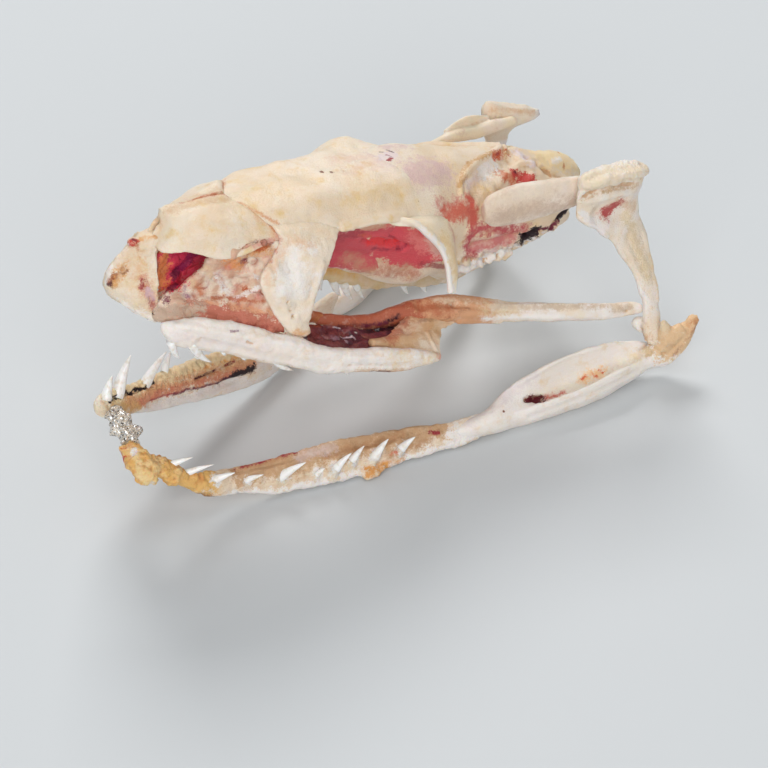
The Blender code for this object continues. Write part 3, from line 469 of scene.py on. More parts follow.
finish = bone_finish("snout_tip_finish", CREAM, IVORY, YELLOWED, [
    (AMBER, (3.6, -2.8, 4.8), (5.4, -4.4, 1.0), 2.6, 2.2, 0.40),
    (WHITE, (0.2, -0.1, 0.4), (0.3, -0.2, 4.8), 1.0, 0.7, 0.9),
    (WHITE, (0.3, -0.2, 4.8), (2.8, -0.3, 6.9), 0.9, 0.6, 0.9),
    (WHITE, (2.4, -2.6, -2.8), (7.0, -6.0, -4.6), 1.7, 1.0, 0.9),
    (AMBER, (1.0, -1.2, 1.0), (2.2, -1.8, 4.2), 1.4, 0.9, 0.85),
    (tint(168, 92, 56), (0.3, -0.6, 0.9), (1.2, -1.5, 2.8), 0.7, 0.5, 0.95),
    # Painted shade: brown in one of the sunken nerve pits.
    (BROWN, (1.8, -1.6, 2.8), (2.4, -1.8, 3.3), 0.6, 0.4, 0.95),
    (MAROON, (0.6, -0.7, 0.2), (0.8, -0.9, 0.9), 0.6, 0.4, 0.9),
    (ROSE, (4.4, -3.8, 2.8), (6.4, -5.4, -1.8), 1.3, 1.0, 0.60),
    (CRIMSON, (4.6, -3.9, 2.1), (4.7, -4.2, 1.4), 0.75, 0.45, 0.9),
    (LILAC, (5.4, -4.7, 0.8), (5.9, -5.1, -0.8), 0.9, 0.6, 0.8),
    (CRIMSON, (5.9, -5.2, -1.2), (6.6, -5.5, -2.2), 0.65, 0.4, 0.9),
    (tint(200, 66, 52), (3.4, -0.4, 7.2), (4.4, -0.6, 8.0), 0.85, 0.5, 1.2),
    (MAROON, (3.7, -0.4, 8.0), (4.0, -0.5, 8.0), 0.5, 0.3, 0.8),
    (RUST, (4.2, -1.1, 6.9), (4.6, -2.0, 5.6), 0.6, 0.5, 0.7),
    (AMBER, (5.2, -0.4, 7.7), (8.4, -1.4, 8.6), 0.7, 0.5, 0.8),
    (CRIMSON, (1.0, 1.2, 1.6), (1.8, 1.7, 3.8), 0.8, 0.5, 0.8),
    (ROSE, (4.7, 4.1, 2.4), (5.4, 4.7, 0.6), 1.0, 0.8, 0.6),
], relief=0.7)
set_down(premaxilla, CRANIUM_BED, finish)
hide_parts("premaxilla")


# NASALS.  Two thin domed bones, smooth and cream, that roof the nose.  In front they curl in
# to an upright wall on the midline; behind they meet the brow bones in a rust-coloured line.

# The same slow swell for each bone of the roof and eyes, so that they stay flush: size,
# height and seed.
CRANIUM_SWELL = (4.0, 0.3, 61)
SIDES = ((-1, "left"), (1, "right"))


def placed(rows, side, forward=0.0, inset=0.0):
    """Rows given by distance outward from the midline, set on the left (-1) or right (1)."""
    return [(row[0] - forward, side * (row[1] - inset), *row[2:]) for row in rows]


def strokes_on(side, strokes, *shift):
    """Strokes given by distance outward, set on one side."""
    return [(placed(path, side, *shift), reach, height) for path, reach, height in strokes]


def stains_and_painted_light_on(side, stains_and_painted_light, *shift):
    """Marks given by distance outward, set on one side: stained ones and painted shade and light."""
    return [(colour, *placed((start, end), side, *shift), *amounts)
            for colour, start, end, *amounts in stains_and_painted_light]


def sheet(rows, thickness, steps=6, inside=(0.0, -6.0)):
    """Closed thin bone, laid inward from rows of points on its outer face."""
    outer = through([through(row, steps) for row in rows], steps)
    along = np.gradient(outer, axis=0)
    across = np.gradient(outer, axis=1)
    facing = np.cross(along, across)
    facing = facing / np.linalg.norm(facing, axis=2)[:, :, None]
    middle = outer.reshape(-1, 3).mean(0)
    inward = np.array((middle[0], inside[0], middle[2] + inside[1])) - outer
    facing[(facing * inward).sum(2) < 0] *= -1
    inner = outer + facing * thickness
    return skin(np.concatenate([outer, inner[:, ::-1]], axis=1))


nasal_roofs = {
    "left": [
        [(7.8, 0.05, 12.8), (7.9, 0.5, 11.2), (7.6, 0.9, 9.0), (6.8, 1.4, 6.9)],
        [(8.7, 0.05, 13.05), (8.8, 2.0, 12.1), (8.7, 3.3, 9.8), (7.5, 3.8, 6.7)],
        [(10.9, 0.05, 13.35), (10.8, 2.9, 12.9), (11.0, 5.0, 10.7), (11.0, 5.6, 7.2)],
        [(14.0, 0.05, 13.7), (14.0, 3.2, 13.5), (14.3, 6.2, 11.3), (14.9, 7.5, 6.7)],
        [(17.0, 0.05, 13.9), (17.6, 3.5, 13.5), (18.0, 6.7, 11.5), (18.3, 8.5, 6.9)],
        [(19.4, 0.05, 14.0), (20.7, 3.4, 13.4), (22.2, 6.6, 11.8), (22.8, 8.9, 8.6)],
        [(20.3, 0.05, 13.6), (22.2, 3.5, 12.9), (24.6, 6.5, 11.5), (26.6, 8.8, 9.7)],
    ],
    "right": [
        [(7.8, 0.05, 12.8), (8.0, 0.4, 11.0), (8.0, 0.7, 9.0), (7.4, 1.2, 6.9)],
        [(8.8, 0.05, 13.0), (9.6, 1.8, 11.2), (10.2, 2.9, 9.2), (9.6, 3.6, 6.6)],
        [(11.0, 0.05, 13.2), (11.8, 2.6, 11.2), (12.6, 4.6, 9.4), (12.4, 5.6, 7.0)],
        [(14.0, 0.05, 13.6), (14.6, 2.9, 11.7), (15.4, 5.6, 9.9), (15.4, 7.2, 6.5)],
        [(17.0, 0.05, 14.0), (17.6, 3.2, 12.9), (18.2, 6.2, 10.9), (18.3, 8.5, 6.9)],
        [(19.4, 0.05, 14.1), (20.8, 3.4, 14.0), (22.2, 6.4, 12.2), (22.8, 8.9, 8.6)],
        [(20.4, 0.05, 13.2), (22.4, 3.5, 13.3), (24.8, 6.6, 11.9), (26.6, 8.8, 10.0)],
    ],
}
nose_wall = [(8.4, 0.6, 10.6, 0.42, 1.4), (10.0, 0.6, 8.6, 0.42, 4.2),
             (14.0, 0.6, 8.6, 0.42, 4.6), (18.6, 0.6, 10.6, 0.42, 2.6)]
for side, word in SIDES:
    dome = sheet([placed(row, side) for row in nasal_roofs[word]], 0.75)
    nasal = grown("nose_dome_" + word, [dome, rod(placed(nose_wall, side))], 0.23, 3)
    worked(nasal, strokes_on(side, [
        ([(12.0, 5.4, 11.0), (18.0, 6.8, 11.6)], 3.0, 0.45),
        ([(9.6, 1.6, 12.9), (20.0, 1.8, 14.0)], 1.4, -0.30),
        ([(16.6, 7.9, 8.6), (21.0, 8.4, 9.4)], 1.4, -0.25),
    ]))
    roughened(nasal, *CRANIUM_SWELL)
    roughened(nasal, 1.0, 0.06, 23)
    finish = bone_finish("nose_dome_finish_" + word, CREAM, IVORY, YELLOWED, stains_and_painted_light_on(side, [
        (TAN, (9.0, 1.4, 12.9), (19.6, 1.4, 14.0), 1.5, 1.3, 0.55),
        (RUST, (11.4, 0.1, 13.5), (20.4, 0.1, 14.0), 0.55, 0.45, 0.85),
        (RUST, (20.2, 0.2, 14.0), (22.6, 3.8, 13.2), 0.60, 0.5, 0.9),
        (RUST, (22.6, 3.8, 13.2), (26.2, 8.8, 10.1), 0.65, 0.5, 0.9),
        (AMBER, (22.8, 5.6, 12.0), (25.4, 8.4, 9.8), 1.3, 1.1, 0.5),
        (ROSE, (21.4, 8.8, 8.6), (25.4, 9.0, 9.8), 0.9, 0.7, 0.7),
        (TAN, (8.0, 0.6, 11.0), (9.0, 0.7, 6.0), 0.8, 0.7, 0.5),
        (IVORY, (12.0, 5.2, 10.6), (18.0, 7.4, 9.4), 2.4, 1.6, 0.6),
    ]), cloud=0.10, pores=0.08, fibres=0.25)
    set_down(nasal, CRANIUM_BED, finish)
    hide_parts("nasal_" + word)


# NOSE FLOOR.  The vomers, with the dried lining of the nose still on them: a crimson wall
# inside the nostril, and behind it crumpled folds, papery and pale, with rust and dark spots.

nose_floor = [(8.6, 2.9, -1.4, 1.0, 0.6), (11.5, 3.9, -1.2, 2.0, 0.9), (15.5, 5.0, -1.2, 3.0, 1.0),
              (20.0, 5.2, -1.4, 3.2, 0.9), (24.0, 3.2, -1.4, 1.2, 0.7)]
nostril_wall = [
    [(8.8, 1.3, 7.2), (12.0, 1.4, 8.2), (16.0, 1.4, 8.2), (20.4, 1.3, 8.0)],
    [(8.8, 1.5, 3.0), (12.0, 1.3, 3.2), (16.0, 1.4, 3.0), (20.4, 1.5, 2.6)],
    [(9.0, 2.0, 0.2), (12.2, 1.7, -0.6), (16.0, 1.9, -0.8), (20.6, 2.0, -1.0)],
    [(8.2, 3.8, -2.2), (12.2, 3.6, -2.6), (16.0, 3.6, -2.6), (20.6, 3.4, -2.6)],
]
nose_lining = [
    [(14.2, 6.9, 6.8), (16.6, 7.7, 7.2), (19.0, 8.4, 8.6), (22.1, 8.9, 9.8), (25.3, 9.4, 9.4)],
    [(14.6, 5.8, 4.4), (17.2, 6.6, 4.9), (20.3, 7.2, 5.1), (22.8, 8.0, 5.8), (25.0, 9.7, 5.7)],
    [(11.6, 5.0, 0.8), (16.1, 6.0, 1.3), (20.5, 7.2, 1.2), (22.5, 8.6, 1.5), (24.2, 10.8, 1.6)],
    [(7.0, 5.2, -1.2), (13.0, 6.8, -1.2), (18.3, 8.4, -1.4), (22.4, 10.4, -1.8), (25.6, 12.4, -2.2)],
    [(6.4, 6.4, -3.6), (11.6, 8.8, -2.9), (17.2, 11.0, -3.4), (22.4, 12.6, -4.4), (27.6, 14.0, -5.6)],
]
for side, word in SIDES:
    lining = sheet([placed(row, side) for row in nose_lining], 0.7)
    inner = sheet([placed(row, side) for row in nostril_wall], 0.5)
    vomer = grown("nose_floor_" + word, [rod(placed(nose_floor, side)), lining, inner], 0.24, 2)
    worked(vomer, strokes_on(side, [
        ([(21.4, 8.0, 7.0)], 1.0, -0.9),
        ([(18.0, 7.6, 7.8), (16.8, 6.8, 3.2)], 1.0, 0.6),
        ([(19.6, 7.4, 3.6), (23.4, 9.0, 3.4)], 0.8, 0.5),
        ([(18.4, 7.2, 0.6), (23.6, 10.2, 0.4)], 0.7, -0.6),
        ([(9.0, 6.0, -1.8), (16.0, 8.2, -1.8), (24.0, 12.0, -3.0)], 1.2, 0.5),
    ]))
    roughened(vomer, 2.6, 0.9, 31)
    roughened(vomer, 1.2, 0.30, 37)
    finish = bone_finish("nose_lining_" + word, tint(222, 184, 156), IVORY, ROSE, stains_and_painted_light_on(side, [
        (tint(220, 58, 92), (9.0, 1.6, 5.6), (19.0, 1.6, 4.6), 3.8, 1.0, 1.7),
        (tint(222, 62, 88), (9.6, 1.8, 1.4), (15.0, 1.8, 0.0), 3.2, 1.0, 1.7),
        (tint(244, 146, 92), (9.4, 1.2, 5.0), (9.8, 1.5, -0.4), 1.7, 0.9, 1.6),
        (tint(150, 30, 80), (16.2, 1.3, 4.4), (13.0, 1.4, 1.6), 1.3, 0.9, 1.3),
        (tint(122, 26, 60), (12.6, 1.6, 1.2), (8.4, 5.6, -1.2), 0.9, 0.6, 1.3),
        (tint(150, 40, 78), (10.0, 1.6, 7.2), (17.0, 1.6, 7.0), 1.1, 0.9, 1.0),
        (tint(232, 152, 86), (17.8, 7.2, 6.0), (20.4, 7.6, 4.4), 1.8, 1.3, 1.0),
        (AMBER, (21.4, 7.6, 7.0), (24.0, 8.6, 8.0), 1.6, 1.2, 0.8),
        (tint(132, 40, 62), (20.6, 7.3, 5.8), (21.2, 7.4, 5.3), 0.9, 0.7, 1.1),
        (RUST, (22.4, 8.0, 7.8), (23.8, 8.6, 8.4), 1.1, 0.8, 1.0),
        (tint(216, 132, 90), (13.8, 5.2, 1.2), (14.6, 5.8, -0.4), 1.0, 1.0, 0.9),
        (tint(234, 200, 160), (12.4, 5.1, 2.6), (13.4, 5.4, 1.0), 0.9, 0.9, 0.9),
        (tint(236, 206, 168), (14.6, 5.8, 4.6), (16.4, 6.4, 2.4), 1.2, 1.2, 0.9),
        (WHITE, (17.2, 6.6, 2.6), (19.0, 7.2, -0.4), 1.2, 1.0, 1.1),
        (RUST, (20.8, 8.2, 1.2), (22.4, 8.8, 0.0), 0.8, 0.5, 1.1),
        (WHITE, (19.2, 8.6, -0.8), (23.6, 9.6, 1.4), 0.6, 0.4, 1.3),
        (RUST, (16.2, 7.4, -0.8), (23.8, 10.4, -0.8), 0.7, 0.5, 0.9),
        (WHITE, (21.8, 8.2, 2.6), (24.4, 9.4, 3.4), 0.8, 0.5, 1.1),
        (tint(202, 122, 100), (12.0, 8.2, -2.0), (27.0, 13.8, -5.0), 2.3, 1.1, 1.6),
        (tint(232, 170, 130), (15.0, 7.6, -1.4), (25.6, 12.0, -2.6), 0.8, 0.6, 0.8),
        (tint(164, 76, 62), (19.0, 11.2, -3.8), (27.4, 13.8, -5.4), 0.8, 0.6, 0.8),
        (tint(206, 178, 156), (6.4, 6.2, -3.0), (13.4, 8.0, -2.4), 1.7, 0.9, 1.2),
        (tint(152, 90, 124), (11.8, 5.4, 0.6), (12.4, 6.0, -1.0), 0.8, 0.8, 1.0),
    ]), cloud=0.3, pores=0.0, fibres=0.5, crease=tint(176, 92, 72), relief=0.7)
    set_down(vomer, CRANIUM_BED, finish)
    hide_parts("vomer_" + word)


# PREFRONTALS.  White plates in front of the eyes.  Each runs down from the brow, to which it
# has grown, and narrows to a foot on the upper jaw bone, with nerve holes low on its face.

prefrontal_rows = [
    [(25.0, 6.0, 11.4), (29.4, 6.2, 11.9), (33.6, 6.8, 12.1), (37.8, 8.0, 11.1)],
    [(25.4, 7.9, 10.9), (29.6, 8.6, 11.2), (33.6, 9.2, 11.0), (37.0, 9.8, 10.2)],
    [(25.8, 9.1, 9.9), (29.6, 10.1, 9.9), (33.3, 10.7, 9.3), (36.0, 10.9, 8.6)],
    [(24.4, 10.0, 7.4), (28.4, 11.3, 7.6), (32.0, 12.0, 7.2), (34.8, 12.0, 6.4)],
    [(21.9, 11.2, 3.8), (26.0, 12.6, 3.6), (30.0, 13.2, 3.2), (33.3, 13.0, 3.0)],
    [(24.2, 12.4, -1.1), (27.0, 13.4, -1.2), (30.0, 13.7, -1.2), (32.3, 13.4, -0.9)],
    [(26.6, 13.8, -4.2), (28.4, 14.3, -4.3), (30.2, 14.4, -4.4), (31.8, 14.1, -4.4)],
    [(28.2, 14.4, -5.6), (29.5, 14.8, -5.9), (30.8, 14.9, -6.0), (31.9, 14.7, -5.9)],
]
for side, word in SIDES:
    blade = sheet([placed(row, side) for row in prefrontal_rows], 0.9)
    prefrontal = grown("eye_front_plate_" + word, [blade], 0.23, 4)
    worked(prefrontal, strokes_on(side, [
        ([(32.6, 12.6, 5.6), (31.2, 13.7, -3.0)], 1.2, 0.4),
        ([(26.2, 11.6, 6.0), (28.6, 13.4, -1.2)], 1.8, -0.4),
        ([(23.4, 11.2, 5.0), (25.4, 12.6, -0.6)], 0.9, 0.25),
        ([(27.8, 13.5, -1.3)], 0.5, -0.9),
        ([(28.2, 13.8, -2.5)], 0.5, -0.9),
        ([(26.9, 13.2, 0.0)], 0.35, -0.5),
    ]))
    roughened(prefrontal, *CRANIUM_SWELL)
    roughened(prefrontal, 0.9, 0.12, 53)
    finish = bone_finish("eye_front_finish_" + word, WHITE, IVORY, CREAM, stains_and_painted_light_on(side, [
        (CREAM, (25.4, 7.6, 11.0), (37.0, 9.6, 10.2), 3.0, 2.2, 0.95),
        (AMBER, (27.6, 9.6, 9.4), (31.0, 10.4, 8.6), 1.6, 1.5, 0.40),
        (YELLOWED, (30.0, 11.0, 8.0), (31.6, 13.4, 1.0), 1.5, 1.4, 0.35),
        (AMBER, (28.6, 14.4, -5.2), (31.8, 14.6, -5.8), 0.9, 0.6, 0.7),
        # Painted shade: brown in the three sunken nerve holes.
        (BROWN, (27.8, 13.5, -1.3), (27.85, 13.5, -1.3), 0.42, 0.2, 1.0),
        (BROWN, (28.2, 13.8, -2.5), (28.25, 13.8, -2.5), 0.42, 0.2, 1.0),
        (BROWN, (26.9, 13.2, 0.0), (26.95, 13.2, 0.0), 0.3, 0.2, 0.8),
        (RUST, (22.4, 10.9, 5.6), (25.6, 9.2, 9.4), 0.8, 0.6, 0.75),
        (AMBER, (23.0, 11.4, 4.0), (26.0, 10.0, 8.4), 1.5, 1.3, 0.4),
    ]), fibres=0.3)
    set_down(prefrontal, CRANIUM_BED, finish)
    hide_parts("prefrontal_" + word)


# FRONTALS.  The brow bones: a flat table over the brain, a brow that overhangs the eye, and
# the eye socket's inner wall, which dried blood has stained crimson.

def brow_ring(x, rake, top, table, eave, under, wall, base, rise, side):
    """Half section: table, sloping brow, overhanging eave and inner wall.  The right eave
    stands higher, by its rise."""
    if side == 1:
        eave = (eave[0], eave[1] + rise)
        under = (under[0], under[1] + rise * 0.5)
    outline = [(-0.9, top - 0.3), table, eave, under, wall, (wall[0] - 0.8, base + 1.2), (-0.9, base)]
    ring = through(outline, 6)
    return np.stack([x + rake * ring[:, 0], side * ring[:, 0], ring[:, 1]], axis=1)


brow_sections = [
    (19.2, 0.60, 13.2, (3.0, 12.8), (6.2, 11.2), (5.8, 10.2), (2.4, 8.0), 5.2, 0.6),
    (26.4, 0.05, 14.7, (4.0, 14.0), (7.4, 11.5), (6.6, 10.3), (3.0, 6.0), 2.0, 1.2),
    (31.0, 0.0, 15.2, (4.6, 14.6), (8.3, 11.2), (7.3, 10.0), (3.6, 4.5), -0.4, 0.9),
    (35.5, 0.0, 15.6, (4.8, 15.0), (9.2, 10.9), (8.0, 9.9), (4.0, 3.5), -1.8, 0.3),
    (38.0, 0.0, 15.8, (4.8, 15.2), (9.9, 10.2), (8.6, 9.2), (4.2, 3.0), -2.2, 0.2),
    (44.0, 0.0, 16.2, (5.0, 15.5), (10.4, 10.8), (8.8, 9.7), (4.4, 2.0), -3.1, 0.9),
    (47.0, 0.0, 16.4, (5.1, 15.6), (10.25, 10.75), (8.8, 9.6), (4.5, 1.6), -4.0, 3.6),
    (50.8, 0.0, 16.5, (5.2, 15.7), (10.1, 10.7), (8.8, 9.5), (4.7, 1.2), -5.0, 4.3),
    (54.0, 0.0, 16.35, (5.1, 15.45), (9.7, 10.5), (8.5, 9.2), (4.4, 0.8), -5.4, 3.3),
    (58.0, 0.0, 15.4, (4.5, 14.5), (8.6, 9.6), (7.6, 8.4), (3.9, 0.6), -5.0, 2.4),
]
for side, word in SIDES:
    rings = [brow_ring(*section, side) for section in brow_sections]
    frontal = grown("brow_bone_" + word, [skin(through(rings, 6))], 0.32, 4)
    worked(frontal, strokes_on(side, [
        ([(38.0, 9.6, 10.6), (44.0, 10.0, 11.2), (50.0, 9.8, 11.0)], 1.3, 0.35),
        ([(24.0, 3.0, 14.2), (30.0, 4.4, 14.9)], 2.6, -0.25),
        ([(34.0, 5.6, 14.6), (48.0, 6.4, 15.0)], 2.6, 0.3),
        ([(26.0, 5.4, 12.7)], 0.5, -0.4),
        ([(45.6, 6.6, 5.9), (48.7, 6.9, 5.6), (52.0, 6.3, 4.2)], 0.8, 0.5),
        ([(46.8, 6.0, 4.6), (50.0, 5.9, 3.8), (52.6, 6.0, 2.8)], 1.3, -1.3),
        ([(41.0, 5.2, 1.6), (50.0, 5.0, 0.2)], 1.6, -0.3),
    ]))
    if word == "left":
        # Painted shade: the three small sunken pits on the left table are painted brown.
        worked(frontal, [([(38.3, -0.6, 15.9)], 0.4, -0.6), ([(40.0, -1.3, 15.9)], 0.4, -0.6),
                         ([(42.4, -1.3, 16.0)], 0.35, -0.5)])
        own_marks = [
            (BROWN, (38.3, -0.6, 15.9), (38.35, -0.6, 15.9), 0.5, 0.2, 1.2),
            (BROWN, (40.0, -1.3, 15.9), (40.05, -1.3, 15.9), 0.5, 0.2, 1.2),
            (BROWN, (42.4, -1.3, 15.9), (42.45, -1.3, 15.9), 0.42, 0.2, 1.0),
        ]
    else:
        own_marks = [(MAROON, (43.6, 7.4, 15.0), (44.4, 8.0, 15.3), 0.8, 0.4, 1.1)]
    own_marks.append((tint(232, 214, 210), (51.8, 0.0, 16.4), (53.4, 0.3, 16.4), 1.9, 0.9, 1.2))
    roughened(frontal, *CRANIUM_SWELL)
    roughened(frontal, 1.5, 0.10, 67)
    finish = bone_finish("brow_finish_" + word, CREAM, IVORY, YELLOWED, stains_and_painted_light_on(side, [
        (IVORY, (28.0, 4.0, 14.6), (40.0, 5.6, 14.6), 2.4, 2.0, 0.6),
        (ROSE, (43.0, 2.0, 16.2), (50.0, 0.6, 16.4), 2.6, 2.2, 0.22),
        (tint(224, 196, 190), (50.6, 1.2, 16.4), (50.4, 2.6, 16.2), 2.4, 2.0, 0.5),
        (YELLOWED, (40.0, 7.0, 13.6), (50.0, 6.6, 14.2), 2.2, 2.0, 0.5),
        (tint(214, 86, 96), (37.0, 4.6, 4.0), (56.0, 6.0, 2.0), 6.2, 1.3, 1.8),
        (tint(180, 60, 74), (37.0, 6.0, 7.4), (44.0, 6.8, 7.4), 2.8, 2.2, 1.0),
        (tint(208, 148, 122), (45.0, 4.3, 0.2), (52.0, 4.3, -3.4), 2.4, 2.4, 1.0),
        (tint(222, 168, 138), (44.6, 8.2, 8.8), (48.4, 8.4, 8.6), 1.5, 0.7, 1.2),
        (tint(228, 86, 88), (48.8, 8.4, 8.2), (54.0, 8.6, 7.2), 1.5, 1.2, 1.0),
        (tint(206, 96, 76), (44.6, 6.8, 6.4), (46.4, 6.8, 5.6), 0.8, 0.6, 0.9),
        (tint(150, 30, 48), (46.0, 6.4, 5.4), (52.4, 6.4, 4.9), 0.5, 0.6, 0.9),
        (tint(234, 66, 70), (48.0, 5.2, 3.9), (53.8, 5.6, 3.0), 1.35, 1.0, 1.3),
        (tint(132, 28, 56), (49.4, 5.0, 1.9), (54.8, 5.8, 1.5), 0.6, 0.7, 1.0),
        (MAROON, (38.8, 4.8, 0.9), (39.8, 4.6, 0.5), 0.6, 0.4, 1.0),
        (AMBER, (34.8, 7.6, 9.8), (36.4, 6.4, 7.4), 1.2, 1.0, 0.7),
        (tint(212, 138, 84), (19.8, 0.4, 13.7), (22.0, 3.4, 13.2), 0.6, 0.5, 0.7),
        (tint(212, 138, 84), (22.0, 3.4, 13.2), (26.2, 7.4, 11.4), 0.55, 0.5, 0.7),
    ]) + own_marks, cloud=0.09, pores=0.12, fibres=0.22)
    set_down(frontal, CRANIUM_BED, finish)
    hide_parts("frontal_" + word)


# BRAINCASE.  Parietal, ear and occipital bones, grown together round the brain, with the
# knob of the neck joint behind.  A curved crest bounds the smooth roof; behind it the bone
# is lower, pitted and stained, and broken along its lower rear edge.

brain_sections = {
    47.5: [(0, 15.2), (4.5, 14.4), (8.4, 9.8), (6.3, 6.8), (4.0, 1.4), (2.4, -3.4), (0, -4.1)],
    51.0: [(0, 16.2), (4.9, 15.3), (9.4, 10.5), (7.6, 7.2), (4.9, 1.4), (3.0, -4.4), (0, -5.2)],
    53.6: [(0, 16.5), (5.2, 15.6), (9.9, 10.7), (8.7, 6.8), (5.6, 0.9), (3.5, -5.4), (0, -6.4)],
    57.0: [(0, 16.4), (5.2, 15.5), (9.9, 10.2), (9.2, 5.8), (5.9, 0.0), (3.8, -6.7), (0, -7.9)],
    60.6: [(0, 16.1), (4.9, 15.1), (9.7, 9.6), (9.8, 4.9), (6.8, -1.1), (4.3, -6.9), (0, -8.2)],
    62.6: [(0, 15.9), (4.6, 14.9), (9.2, 10.1), (9.6, 4.8), (7.3, -1.4), (4.5, -6.0), (0, -7.2)],
    64.4: [(0, 15.8), (4.4, 14.8), (8.6, 10.6), (9.4, 4.8), (7.8, -1.7), (4.7, -5.4), (0, -6.3)],
    66.2: [(0, 15.7), (4.0, 14.7), (8.0, 10.8), (9.2, 4.9), (8.1, -1.7), (5.0, -6.4), (0, -7.7)],
    70.0: [(0, 15.5), (3.4, 14.5), (7.0, 11.2), (8.8, 5.2), (8.4, -1.4), (5.0, -7.0), (0, -8.9)],
    77.0: [(0, 15.2), (2.4, 13.9), (6.4, 10.9), (8.6, 5.4), (8.4, -0.4), (5.0, -4.8), (0, -6.6)],
    84.0: [(0, 13.6), (3.0, 12.4), (7.0, 9.8), (8.8, 5.6), (7.6, 1.0), (4.2, -3.0), (0, -5.4)],
    90.0: [(0, 11.6), (3.6, 10.4), (6.8, 8.0), (7.0, 4.8), (5.4, 1.4), (3.0, -2.4), (0, -4.2)],
    93.0: [(0, 10.4), (2.8, 9.4), (4.8, 7.0), (4.8, 4.0), (3.8, 1.0), (2.2, -2.0), (0, -3.2)],
}
brain_rings = []
for x, half in brain_sections.items():
    ring = [(x, y, z) for y, z in half] + [(x, -y, z) for y, z in reversed(half[1:-1])]
    brain_rings.append(round_through(ring))
neck_roof = rod([(85.6, 0, 11.1, 2.6, 1.7), (88.4, 0, 10.5, 3.0, 2.2), (91.6, 0, 9.6, 3.1, 2.3),
                 (94.4, 0, 8.3, 2.5, 1.9), (96.4, 0, 7.2, 1.4, 1.2)])
neck_knob = rod([(91.0, 0, -0.6, 1.8, 1.8), (94.0, 0, -0.6, 2.2, 2.0),
                 (96.4, 0, -0.4, 1.6, 1.4), (97.2, 0, -0.3, 0.7, 0.6)])
braincase = grown("brain_box", [skin(through(brain_rings, 5)), neck_roof, neck_knob], 0.3, 4)
strokes = [([(92.0, 0, 4.2), (94.0, 0, 4.4)], 2.6, -2.4),
           ([(77.6, 0.4, 15.3), (78.4, -0.4, 14.8)], 0.8, 0.5)]
for side in (-1, 1):
    strokes += strokes_on(side, [
        ([(76.8, 0.4, 15.4), (73.0, 1.9, 15.2), (69.7, 3.1, 15.0), (67.2, 4.2, 14.6),
          (65.5, 5.0, 14.0), (64.0, 5.8, 13.3), (63.3, 7.4, 11.8)], 0.9, 0.75),
        ([(79.0, 1.4, 14.2), (74.6, 3.6, 13.9), (70.4, 5.4, 13.0), (67.2, 6.8, 11.8)], 2.2, -0.7),
        ([(80.0, 4.6, 11.9), (73.0, 6.8, 10.8)], 1.8, -0.6),
        ([(76.4, 2.9, 14.2), (83.0, 3.0, 12.8)], 0.8, 0.5),
        ([(82.0, 2.0, 13.4), (86.0, 4.2, 11.0)], 0.8, -0.5),
        ([(84.8, 3.6, 11.4), (88.6, 4.4, 9.8)], 1.1, -0.7),
        ([(80.4, 8.7, 1.7), (82.2, 8.7, 2.3)], 1.2, -2.2),
        ([(87.6, 7.6, 4.2), (89.0, 7.3, 4.7)], 0.9, -1.4),
        ([(52.0, 6.2, 3.4), (54.6, 6.6, 2.2)], 1.5, -1.5),
        ([(61.0, 7.2, -0.4), (66.0, 8.4, -1.2)], 1.2, 0.4),
        ([(66.0, 9.3, 5.4), (80.0, 8.8, 5.6)], 1.4, 0.35),
        ([(68.0, 9.0, 2.0), (79.0, 8.7, 2.4)], 1.2, -0.8),
        ([(87.4, 7.4, 3.2), (85.4, 7.6, 0.0), (80.0, 8.0, -1.8), (72.0, 8.0, -3.0),
          (66.0, 7.6, -4.0)], 0.9, 0.8),
        ([(72.0, 8.2, -1.2), (80.0, 8.2, -0.4)], 0.8, -0.8),
    ])
worked(braincase, strokes)
roughened(braincase, *CRANIUM_SWELL)
roughened(braincase, 1.6, 0.45, 73, [(70, 5, 12), (79, 1, 13), (82, -3, 12), (80, -6, 10), (68, -7, 11)], 5.0)
roughened(braincase, 0.7, 0.15, 75, [(68, -6.6, 12), (74, -4.6, 13.2), (82, -3, 12.6)], 3.6)
roughened(braincase, 1.2, 1.1, 79, [(66, -8, -2), (76, -8.4, -1.4), (86, -7.4, 1)], 3.4)
roughened(braincase, 0.5, 0.4, 81, [(66, -8, -2), (76, -8.4, -1.4), (86, -7.4, 1)], 3.4)
roughened(braincase, 1.2, 1.1, 83, [(66, 8, -2), (76, 8.4, -1.4), (86, 7.4, 1)], 3.4)
roughened(braincase, 1.5, 0.35, 89, [(86.5, 0, 11.6), (96.4, 0, 9.2)], 4.2)
